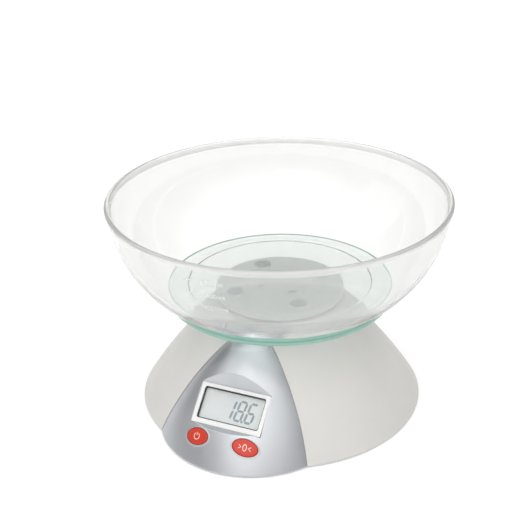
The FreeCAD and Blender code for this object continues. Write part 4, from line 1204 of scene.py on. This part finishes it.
# ================================================================== display
@dataclass
class Display:
    """White bezel, lens with a printed border, and the liquid crystal display with its figures."""

    plane: DisplayPlane
    repeat: RepeatTree
    window_half: Point = (22.75 * MM, 11.2 * MM)
    window_corner: float = 1.5 * MM
    bezel_half_width: float = 25.5 * MM
    bezel_low: float = -14.6 * MM
    bezel_high: float = 13.8 * MM
    bezel_corner: float = 0.9 * MM
    bezel_depth: float = 3.0 * MM
    softness: float = 0.7 * MM
    lens_depth: float = 0.8 * MM
    lens_lap: float = 1.1 * MM
    lens_thickness: float = 1.2 * MM
    border: float = 0.9 * MM
    border_lap: float = 0.3 * MM
    border_thickness: float = 0.08 * MM
    border_gap: float = 0.01 * MM
    lcd_depth: float = 3.0 * MM
    ink_low: float = 0.012 * MM
    ink_high: float = 0.045 * MM
    shown: str = "186"
    digit_height: float = 15.0 * MM
    digit_width: float = 6.5 * MM
    digit_pitch: float = 7.75 * MM
    stroke: float = 1.65 * MM
    bar_gap: float = 0.25 * MM
    point_corner: float = 0.2 * MM
    slant: float = math.radians(8.0)
    last_digit: Point = (14.0 * MM, -0.5 * MM)

    # share of the rail from the window's edge, and the fall there
    BEZEL_FALL = ((0.22, 0.06 * MM), (0.1, 0.2 * MM), (0.02, 0.48 * MM))
    FIGURES = {"1": "bc", "8": "abcdefg", "6": "acdefg"}

    def bezel_mesh(self) -> bpy.types.Mesh:
        """Frame with rounded edges, a gentle fall towards the window and a seat for the lens."""
        half_x, half_y = self.window_half
        rail = self.bezel_half_width - half_x
        turns = [math.pi / 2 * i / 4 for i in range(4, -1, -1)]
        outer = [(1.0, -self.bezel_depth)]
        outer += [(1 - self.softness * (1 - math.sin(turn)) / rail,
                   -self.softness * (1 - math.cos(turn))) for turn in turns]
        inner = [(share, -fall) for share, fall in self.BEZEL_FALL] + [(0.0, -self.lens_depth)]
        seat = self.lens_lap / rail
        section = outer + inner + [(seat, -self.lens_depth), (seat, -self.bezel_depth)]
        loops = []
        for share, n in section:
            corner = self.window_corner + share * (self.bezel_corner - self.window_corner)
            outline = rounded_rectangle(half_x + share * rail,
                                        -half_y + share * (self.bezel_low + half_y),
                                        half_y + share * (self.bezel_high - half_y), corner)
            loops.append([self.plane.at(x, y, n) for x, y in outline])
        return lofted("bezel", loops, ring=True)

    def border_mesh(self) -> bpy.types.Mesh:
        """Printed border under the lens."""
        top = -self.lens_depth - self.lens_thickness - self.border_gap
        half_x, half_y = self.window_half
        wide, thick = self.border_lap, self.border_thickness
        loops = []
        for grow, fall in ((wide, 0.0), (wide, thick), (-self.border, thick), (-self.border, 0.0)):
            outline = rounded_rectangle(half_x + grow, -half_y - grow, half_y + grow,
                                        self.window_corner)
            loops.append([self.plane.at(x, y, top - fall) for x, y in outline])
        return lofted("border", loops, ring=True)

    def segment_mesh(self, length: float) -> bpy.types.Mesh:
        """One bar of a figure lying along X, pointed at both ends."""
        half, w = length / 2, self.stroke / 2
        outline = [(-half, 0), (-half + w, -w), (half - w, -w), (half, 0), (half - w, w),
                   (-half + w, w)]
        loops = [[Vector((x, y, z)) for x, y in outline] for z in (self.ink_low, self.ink_high)]
        return lofted("segment", loops)

    def segment_places(self) -> list[Place]:
        """Where the bars of the shown figures lie."""
        w, h = self.digit_width / 2 - self.stroke / 2, self.digit_height / 2 - self.stroke / 2
        spots = {"a": (0, h, False), "g": (0, 0, False), "d": (0, -h, False),
                 "b": (w, h / 2, True), "c": (w, -h / 2, True),
                 "e": (-w, -h / 2, True), "f": (-w, h / 2, True)}
        upright = (h - self.bar_gap) / (2 * w - self.bar_gap)
        places = []
        for index, figure in enumerate(reversed(self.shown)):
            centre_x = self.last_digit[0] - index * self.digit_pitch
            for bar in self.FIGURES[figure]:
                x, y, standing = spots[bar]
                place = self.plane.at(centre_x + x + math.tan(self.slant) * y,
                                      self.last_digit[1] + y, -self.lcd_depth)
                turn = self.plane.turned(math.pi / 2 - self.slant if standing else 0.0)
                places.append((place, turn, Vector((upright if standing else 1.0, 1, 1))))
        return places

    def point_mesh(self) -> bpy.types.Mesh:
        """The decimal point, between the last two figures."""
        lean = math.tan(self.slant) * self.digit_height / 2
        x = self.last_digit[0] - self.digit_pitch / 2 - lean
        low = self.last_digit[1] - self.digit_height / 2
        half = self.stroke / 2
        corners = [(x + a * half, low + (b + 1) * half, self.point_corner)
                   for a, b in ((-1, -1), (1, -1), (1, 1), (-1, 1))]
        loops = [[self.plane.at(px, py, ink - self.lcd_depth) for px, py in eased(corners)]
                 for ink in (self.ink_high, self.ink_low)]
        return lofted("figure_point", loops)

    def build(self) -> None:
        """Builds the display's pieces and dresses its CAD nodes."""
        add_piece("bezel", self.bezel_mesh(), [BEZEL_WHITE], Body.BASE)
        add_piece("window_border", self.border_mesh(), [BORDER_INK], Body.BASE)
        length = self.digit_width - self.stroke - self.bar_gap
        bars = self.repeat.grow("figures", self.segment_mesh(length), SEGMENT_INK,
                                self.segment_places())
        add_piece("figures", bars, [SEGMENT_INK], Body.BASE)
        add_piece("figure_point", self.point_mesh(), [SEGMENT_INK], Body.BASE)
        dress({"display_bezel": BEZEL_WHITE, "display_window": LENS_CLEAR,
               "window_gasket": GASKET_BLACK, "lcd_glass": LCD_FACE, "lcd_diffuser": DIFFUSER,
               "lcd_frame": FRAME_WHITE, "zebra_strips": GASKET_BLACK})


# ================================================================== buttons
@dataclass
class Button:
    """Push button with a pillowed cap that follows the panel, a hidden flange and a light sign."""

    plane: DisplayPlane
    panel: Flank
    mark: KeyMark
    body: Body
    side: int
    spacing: float = 35.4 * MM
    drop: float = -23.8 * MM
    half: Point = (8.5 * MM, 5.4 * MM)
    proud: float = 0.7 * MM
    flange: float = 0.5 * MM
    flange_top: float = -4.2 * MM
    flange_bottom: float = -5.4 * MM
    sign: float = 2.1 * MM
    sign_width: float = 0.5 * MM
    steps: int = 72

    # share of the half axes, and height beside that of the cap's top
    CAP_TOP = 0.7
    CAP_PROFILE = ((1.0, -0.6), (1.0, 0.15), (0.992, 0.4), (0.975, 0.57), (0.95, 0.66), (0.91, 0.7),
                   (0.8, 0.7), (0.6, 0.7), (0.4, 0.7), (0.2, 0.7), (0.06, 0.7))

    def centre(self) -> Point:
        """The button's middle on the display's plane."""
        return self.side * self.spacing / 2, self.drop

    def loop(self, share: float, height: float | None = None, n: float = 0.0,
             grow: float = 0.0) -> list[Vector]:
        """Ellipse round the button's middle.

        Args:
            share: Share of the button's half axes.
            height: Height over the panel, or None for a level loop.
            n: Height over the display's plane of a level loop.
            grow: Distance by which the loop is wider, away from the other button.

        Returns:
            The loop's points.
        """
        x, y = self.centre()
        x -= self.side * grow
        points = []
        for i in range(self.steps):
            turn = 2 * math.pi * i / self.steps
            px = x + (self.half[0] * share + grow) * math.cos(turn)
            py = y + (self.half[1] * share + grow) * math.sin(turn)
            points.append(self.plane.at(px, py, n) if height is None else
                          self.plane.over(self.panel, px, py, height))
        return points

    def cap_mesh(self) -> bpy.types.Mesh:
        """Cap with a rounded edge, a slight pillow and a flange."""
        loops = [self.loop(1.0, n=self.flange_bottom, grow=self.flange),
                 self.loop(1.0, n=self.flange_top, grow=self.flange),
                 self.loop(1.0, n=self.flange_top)]
        loops += [self.loop(share, height / self.CAP_TOP * self.proud)
                  for share, height in self.CAP_PROFILE]
        return lofted("cap", loops)

    def lay(self, x: float, y: float, height: float) -> Vector:
        """Place on the cap's top, given from the button's middle."""
        centre = self.centre()
        return self.plane.over(self.panel, centre[0] + x, centre[1] + y, self.proud + height)

    def arc(self, radius: Point, start: float, end: float, steps: int) -> list[Point]:
        """Points of an elliptical arc between two angles in degrees."""
        turns = [math.radians(start + (end - start) * i / steps) for i in range(steps + 1)]
        return [(radius[0] * math.cos(turn), radius[1] * math.sin(turn)) for turn in turns]

    def sign_meshes(self) -> list[bpy.types.Mesh]:
        """Strips that make the button's sign."""
        size, width = self.sign, self.sign_width
        if self.mark is KeyMark.POWER:
            broken = self.arc((size, size), 125, 415, 28)
            bar = [(0, 0.3 * size), (0, 1.25 * size)]
            return [ribbon("ring", broken, width, self.lay), ribbon("bar", bar, width, self.lay)]
        figure = self.arc((0.55 * size, size), 0, 360, 32)[:-1]
        meshes = [ribbon("ring", figure, width, self.lay, closed=True)]
        for side in (-1, 1):
            tip, far = side * 1.15 * size, side * 1.95 * size
            arrow = [(far, 0.6 * size), (tip, 0.0), (far, -0.6 * size)]
            meshes.append(ribbon("arrow", arrow, width, self.lay))
        return meshes

    def build(self) -> None:
        """Builds the cap and its sign and dresses the plunger."""
        name = "power" if self.mark is KeyMark.POWER else "tare"
        add_piece(name + "_cap", self.cap_mesh(), [BUTTON_RED], self.body,
                  (name + "_button",))
        sign = joined(name + "_sign", self.sign_meshes())
        add_piece(name + "_sign", sign, [KEY_INK], self.body)
        dress({name + "_plunger": FRAME_WHITE})


# ================================================================== platform
@dataclass
class Platform:
    """Round glass plate on its carrier and hub."""

    radius: float = 81.0 * MM
    low: float = 82.5 * MM
    high: float = 87.5 * MM
    chamfer: float = 0.7 * MM
    segments: int = 240

    # rise and inset along the arris, as shares of the chamfer
    ARRIS = ((0.0, 1.0), (0.12, 0.55), (0.45, 0.15), (1.0, 0.0))

    def plate_mesh(self) -> bpy.types.Mesh:
        """Plate with seamed edges, whose rim faces carry the second finish."""
        r, low, high, cut = self.radius, self.low, self.high, self.chamfer
        lower = [(r - cut * b, low + cut * a) for a, b in self.ARRIS]
        upper = [(r - cut * b, high - cut * a) for a, b in reversed(self.ARRIS)]
        guard = r - 2 * cut
        outline = [(0.0, low), (guard, low)] + lower + upper + [(guard, high), (0.0, high)]
        mesh = revolved("plate", outline, self.segments)
        for face in mesh.polygons:
            if face.center.xy.length > r - cut:
                face.material_index = 1
        return mesh

    def build(self) -> None:
        """Builds the plate and dresses the rest of the platform."""
        finishes = [PLATE_GLASS, PLATE_EDGE]
        add_piece("plate", self.plate_mesh(), finishes, Body.PLATFORM,
                  ("glass_plate",))
        dress({"hub_column": HUB_GREY, "hub_screws": STEEL, "plate_carrier": HUB_GREY,
               "carrier_screws": STEEL, "plate_pads": PAD_SILICONE})


# ================================================================== bowl
@dataclass
class Bowl:
    """Clear measuring bowl with a beaded rim and frosted graduations."""

    repeat: RepeatTree
    rim_r: float = 120.0 * MM
    foot_z: float = 87.5 * MM
    rim_z: float = 156.1 * MM
    wall: float = 2.6 * MM
    flat_r: float = 74.0 * MM
    corner: Point = (89.9 * MM, 93.5 * MM)
    neck: Point = (118.1 * MM, 151.5 * MM)
    side_bulge: float = 6.4 * MM
    floor_bulge: float = 1.2 * MM
    foot_ring: float = 8.0 * MM
    recess: float = 0.8 * MM
    bead: float = 3.6 * MM
    soft: float = 0.35 * MM
    neck_drop: float = 0.2 * MM
    rest_gap: float = 0.04 * MM
    segments: int = 256
    scale_azimuth: float = math.radians(-91.4)
    letter: float = 3.7 * MM
    dash: Point = (7.0 * MM, 0.5 * MM)
    dash_offset: float = 7.3 * MM
    ink: float = 0.06 * MM
    ink_middle: float = 0.035 * MM

    CORNER_STEPS = 10
    SIDE_STEPS = 36
    BEAD_STEPS = 20
    BEAD_EASE = 1.6         # ease under the bead, in soft edges
    INNER_LIFT = 0.6        # rise of the inner corner over the outer one, in walls
    INNER_BULGE = 1.3       # bulge of the inner corner beside the outer one's
    CAPITAL_SHARE = 0.69    # height of a digit beside the letters' size
    LEVELS = {"1000ml": 123.9 * MM, "1400ml": 134.3 * MM, "1800ml": 144.1 * MM}

    def side(self) -> Flank:
        """The wall's outside."""
        return Flank(0.0, self.corner, self.neck, self.side_bulge)

    def outline(self) -> list[Point]:
        """Half section of the bowl, from the middle of its underside to that of its floor."""
        ring_r = self.flat_r - self.foot_ring
        floor_z = self.foot_z + self.recess + self.wall
        foot_z = self.foot_z + self.rest_gap
        soft = self.soft
        under = self.foot_z + self.recess
        points = [(0.0, under), (ring_r - 3 * soft, under), (ring_r - soft, under),
                  (ring_r, under - soft), (ring_r + soft, foot_z), (ring_r + 2 * soft, foot_z),
                  (self.flat_r - soft, foot_z), (self.flat_r, foot_z)]
        points += bulged_arc((self.flat_r, foot_z), self.corner, self.floor_bulge,
                             self.CORNER_STEPS)
        points += bulged_arc(self.corner, self.neck, self.side_bulge, self.SIDE_STEPS)
        bead_r = self.bead / 2
        centre = (self.rim_r - bead_r, self.rim_z - bead_r)
        under_bead = self.BEAD_EASE * soft
        points.append((self.rim_r - under_bead, self.neck[1] + under_bead))
        points += [(centre[0] + bead_r * math.cos(turn), centre[1] + bead_r * math.sin(turn))
                   for turn in [math.pi * i / self.BEAD_STEPS
                                for i in range(self.BEAD_STEPS + 1)]]
        out = Vector((self.neck[1] - self.corner[1], self.corner[0] - self.neck[0])).normalized()
        out *= self.wall
        inner_neck = (self.neck[0] - out.x, self.neck[1] - self.neck_drop)
        inner_corner = (self.corner[0] - out.x, self.corner[1] + self.wall * self.INNER_LIFT)
        points.append(inner_neck)
        points += bulged_arc(inner_neck, inner_corner, -self.side_bulge, self.SIDE_STEPS)
        points += bulged_arc(inner_corner, (self.flat_r, floor_z),
                             -self.floor_bulge * self.INNER_BULGE, self.CORNER_STEPS)
        return points + [(self.flat_r - soft, floor_z), (0.0, floor_z)]

    def lay(self, x: float, y: float, height: float) -> Vector:
        """Place on the wall's outside.

        Args:
            x: Distance round the wall from the scale's azimuth.
            y: Height above the table.
            height: Distance out of the wall.

        Returns:
            The place.
        """
        centre, radius = self.side().circle()
        rise = math.asin((y - centre.y) / radius)
        reach = centre.x + radius * math.cos(rise)
        azimuth = self.scale_azimuth + x / reach
        reach += height * math.cos(rise)
        return Vector((reach * math.cos(azimuth), reach * math.sin(azimuth),
                       y + height * math.sin(rise)))

    def words_mesh(self, text: str, level: float) -> bpy.types.Mesh:
        """Letters laid on the wall.

        Args:
            text: The letters.
            level: Height above the table of their middle.

        Returns:
            Their mesh.
        """
        curve = bpy.data.curves.new("words", "FONT")
        curve.body = text
        curve.size = self.letter / self.CAPITAL_SHARE
        curve.extrude = self.ink / 2
        curve.resolution_u = 3
        holder = added("words", curve)
        bpy.context.view_layer.update()
        mesh = plain_mesh(holder)
        work = bmesh.new()
        work.from_mesh(mesh)
        bmesh.ops.remove_doubles(work, verts=work.verts, dist=MERGE_OWN)
        bmesh.ops.triangulate(work, faces=work.faces)
        for vert in work.verts:
            x, y, n = vert.co
            vert.co = self.lay(x, level + y - self.letter / 2, n + self.ink_middle)
        work.to_mesh(mesh)
        work.free()
        mesh.materials.clear()
        return mesh

    def dash_places(self) -> list[Place]:
        """Where the graduation dashes lie, one to the left of each row of letters."""
        places = []
        x = -self.dash_offset
        for level in self.LEVELS.values():
            here, right, above = [self.lay(x + dx, level + dy, self.ink_middle)
                                  for dx, dy in ((0.0, 0.0), (MM, 0.0), (0.0, MM))]
            across, up = (right - here).normalized(), (above - here).normalized()
            basis = Matrix((across, up, across.cross(up))).transposed()
            places.append((here, Vector(basis.to_euler()), FULL_SIZE))
        return places

    def dash_mesh(self) -> bpy.types.Mesh:
        """One dash lying along X."""
        half_x, half_y = self.dash[0] / 2, self.dash[1] / 2
        outline = [(-half_x, -half_y), (half_x, -half_y), (half_x, half_y), (-half_x, half_y)]
        half_z = self.ink / 2
        return lofted("dash", [[Vector((x, y, z)) for x, y in outline] for z in (-half_z, half_z)])

    def build(self) -> None:
        """Builds the bowl and its graduations."""
        shell = revolved("bowl_shell", self.outline(), self.segments)
        # faces above the neck take the less clear rim finish, a painted highlight
        for face in shell.polygons:
            if face.center.z > self.neck[1]:
                face.material_index = 1
        finishes = [BOWL_CLEAR, RIM_CLEAR]
        add_piece("bowl_shell", shell, finishes, Body.BOWL,
                  ("measuring_bowl",), crease=50)
        words = [self.words_mesh(text, level) for text, level in self.LEVELS.items()]
        add_piece("bowl_figures", joined("bowl_figures", words), [FROST], Body.BOWL)
        dashes = self.repeat.grow("bowl_dashes", self.dash_mesh(), FROST, self.dash_places())
        add_piece("bowl_dashes", dashes, [FROST], Body.BOWL)


# ================================================================== inside
@dataclass
class Internals:
    """Load cell, batteries, circuit board and leads inside the housing."""

    plane: DisplayPlane
    repeat: RepeatTree
    coil: CoilTree
    board_top: float = -9.5 * MM
    part_size: tuple[float, float, float] = (2.0 * MM, 1.2 * MM, 0.7 * MM)
    part_edge: float = 0.12 * MM
    part_count: int = 9
    part_pitch: float = 3.6 * MM
    part_row: float = 19.6 * MM
    solder: float = 0.02 * MM
    wire_r: float = 0.4 * MM
    spring_r: float = 2.9 * MM
    turns: float = 3.5
    flex_step: float = 5.0 * MM
    flex_half: float = 14.0 * MM

    def springs_mesh(self) -> bpy.types.Mesh:
        """Both battery springs, each at one end of the compartment."""
        low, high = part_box("battery_springs")
        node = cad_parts["battery_springs"]
        corners = [node.matrix_world @ vert.co for vert in node.data.vertices]
        middle_y, axis_z = (low.y + high.y) / 2, (low.z + high.z) / 2
        springs = []
        for side in (-1, 1):
            own = [corner for corner in corners if (corner.y - middle_y) * side > 0]
            start, end = min(c.x for c in own), max(c.x for c in own)
            y = (min(c.y for c in own) + max(c.y for c in own)) / 2
            sizes = {"Turns": self.turns, "Radius": self.spring_r,
                     "Height": end - start - 2 * self.wire_r, "Wire": self.wire_r}
            coil = self.coil.wind("spring", sizes, STEEL)
            coil.transform(Matrix.Translation((start + self.wire_r, y, axis_z))
                           @ Matrix.Rotation(math.pi / 2, 4, "Y"))
            springs.append(coil)
        return joined("springs", springs)

    def chips_mesh(self) -> bpy.types.Mesh:
        """Small board part with a bevelled top, lying on the origin."""
        x, y, z = [size / 2 for size in self.part_size]
        soft = self.part_edge
        outline = eased([(-x, -y, soft), (x, -y, soft), (x, y, soft), (-x, y, soft)], 2)
        inside = [(px * 0.96, py * 0.94) for px, py in outline]
        loops = [[Vector((px, py, height)) for px, py in points] for points, height in (
            (outline, 0.0), (outline, 2 * z - soft), (inside, 2 * z))]
        return lofted("chip", loops)

    def chip_places(self) -> list[Place]:
        """Where the small parts stand, in a row along the upper edge of the board."""
        places = []
        for index in range(self.part_count):
            x = (index - self.part_count // 2) * self.part_pitch
            place = self.plane.at(x, self.part_row, self.board_top + self.solder)
            turn = self.plane.turned(math.pi / 2 * (index % 2))
            places.append((place, turn, Vector((1, 1, 0.8 + 0.1 * (index % 3)))))
        return places

    def flexing(self, node: str, finish: Finish) -> None:
        """Puts a copy with its long edges cut finer, tied to no body, in place of a node.

        Args:
            node: The CAD node.
            finish: The copy's finish.
        """
        work = merged_copy(node)
        for _ in range(CUTS):
            long_edges = [edge for edge in work.edges if edge.calc_length() > self.flex_step]
            bmesh.ops.subdivide_edges(work, edges=long_edges, cuts=1)
            triangulated(work)
        mesh = bpy.data.meshes.new(node)
        work.to_mesh(mesh)
        work.free()
        piece = add_piece(node + "_flexing", mesh, [finish], None, (node,))
        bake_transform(piece)

    def build(self) -> None:
        """Builds the springs, the finer-cut load cell and the board parts, and dresses the rest."""
        self.flexing("load_cell", ALUMINIUM)
        self.flexing("load_cell_potting", SEALANT)
        add_piece("springs", self.springs_mesh(), [STEEL], Body.BASE, ("battery_springs",))
        parts = self.repeat.grow("board_parts", self.chips_mesh(), CERAMIC, self.chip_places())
        add_piece("board_parts", parts, [CERAMIC], Body.BASE)
        dress({"load_cell_spacer": ALUMINIUM, "load_cell_screws": STEEL, "main_board": MASK,
               "board_screws": STEEL, "controller_chip": CHIP_BLACK, "tact_switches": CHIP_BLACK,
               "battery_cells": JACKET, "battery_contacts": COPPER_PAD,
               "battery_lead_positive": WIRES["red"], "battery_lead_negative": WIRES["black"]})
        dress({"load_cell_lead_" + colour: finish for colour, finish in WIRES.items()})


# ================================================================== studio
@dataclass
class Studio:
    """Pale table top, soft lamps and the camera."""

    distance: float = 0.6634
    height: float = 0.4308
    azimuth: float = math.radians(23.3)
    pitch: float = math.radians(26.38)
    yaw: float = math.radians(-0.90)
    roll: float = math.radians(-1.19)
    lens: float = 70.58
    floor_half: float = 6.0
    floor_thickness: float = 0.02
    key: Colour = (0.12, -0.3, 0.94)
    # cosines to the key direction between which the sky brightens, and its two strengths
    sky: tuple[float, float, float, float] = (0.4, 0.82, 0.12, 1.55)

    # name, place, aim, size and watts
    SOFT_BOXES = (("overhead", (0.0, 0.25, 1.5), (0.0, 0.0, 0.05), (1.6, 1.2), 2.5),
                  ("left", (-1.3, -0.5, 0.75), (0.0, 0.0, 0.06), (1.0, 1.0), 1.6),
                  ("front", (0.2, -1.6, 1.0), (0.0, -0.03, 0.05), (1.0, 0.8), 1.6))

    def floor(self) -> None:
        """Lays the table top."""
        half = self.floor_half
        corners = [Vector((x * half, y * half, z)) for z in (-self.floor_thickness, 0.0)
                   for x, y in ((-1, -1), (1, -1), (1, 1), (-1, 1))]
        mesh = lofted("table_top", [corners[:4], corners[4:]])
        mesh.materials.append(TABLE_PAINT.material())
        added("table_top", mesh)

    def lamp(self, name: str, place: Colour, aim: Colour, size: Point, power: float) -> None:
        """Adds one soft box.

        Args:
            name: Its name.
            place: Where it hangs.
            aim: The point that it shines at.
            size: Its width and height.
            power: Its power in watts.
        """
        data = bpy.data.lights.new(name, "AREA")
        data.shape = "RECTANGLE"
        data.size, data.size_y = size
        data.energy = power
        item = added(name, data)
        item.location = place
        item.rotation_euler = (Vector(aim) - Vector(place)).to_track_quat("-Z", "Y").to_euler()

    def lamps(self) -> None:
        """Sets the soft boxes and the room's own light."""
        world = bpy.data.worlds.new("room")
        bpy.context.scene.world = world
        world.use_nodes = True
        bench = Bench(world.node_tree)
        ray = bench.add("ShaderNodeTexCoord").outputs["Generated"]
        key = tuple(Vector(self.key).normalized())
        facing = bench.add("ShaderNodeVectorMath", {0: ray, 1: key}, operation="DOT_PRODUCT")
        low, high, dim, bright = self.sky
        strength = bench.add("ShaderNodeMapRange", {
            "Value": facing.outputs["Value"], "From Min": low, "From Max": high,
            "To Min": dim, "To Max": bright}).outputs[0]
        background = world.node_tree.nodes["Background"].inputs
        bench.feed(background["Color"], (1.0, 0.998, 0.99, 1.0))
        bench.feed(background["Strength"], strength)
        for soft_box in self.SOFT_BOXES:
            self.lamp(*soft_box)

    def camera(self) -> None:
        """Places the camera."""
        level = math.cos(self.pitch)
        forward = Vector((math.sin(self.yaw) * level, math.cos(self.yaw) * level,
                          -math.sin(self.pitch)))
        right = forward.cross(Vector((0, 0, 1))).normalized()
        up = right.cross(forward)
        across = right * math.cos(self.roll) + up * math.sin(self.roll)
        above = up * math.cos(self.roll) - right * math.sin(self.roll)
        basis = Matrix((across, above, -forward)).transposed()
        turn = Matrix.Rotation(self.azimuth, 3, "Z")
        data = bpy.data.cameras.new("camera")
        data.sensor_width = 36.0
        data.lens = self.lens
        data.clip_start = 0.01
        item = added("camera", data)
        stand = turn @ Vector((0, -self.distance, self.height))
        item.matrix_world = Matrix.Translation(stand) @ (turn @ basis).to_4x4()
        bpy.context.scene.camera = item

    def build(self) -> None:
        """Builds the studio."""
        self.floor()
        self.lamps()
        self.camera()
        bpy.context.scene.view_settings.view_transform = "Standard"


def main() -> None:
    """Builds every sub-assembly in turn."""
    logging.basicConfig(level=logging.INFO, format="%(message)s")
    repeat = RepeatTree()
    plane = DisplayPlane(Display.lens_depth)
    panel = FrontPanel()
    assemblies = [Housing(repeat), panel, Display(plane, repeat),
                  Button(plane, panel.flank(), KeyMark.POWER, Body.POWER_KEY, -1),
                  Button(plane, panel.flank(), KeyMark.ZERO, Body.TARE_KEY, 1),
                  Platform(), Bowl(repeat), Internals(plane, repeat, CoilTree()), Studio()]
    for assembly in assemblies:
        LOG.info("== %s", type(assembly).__name__)
        assembly.build()


if __name__ == "__main__":
    main()
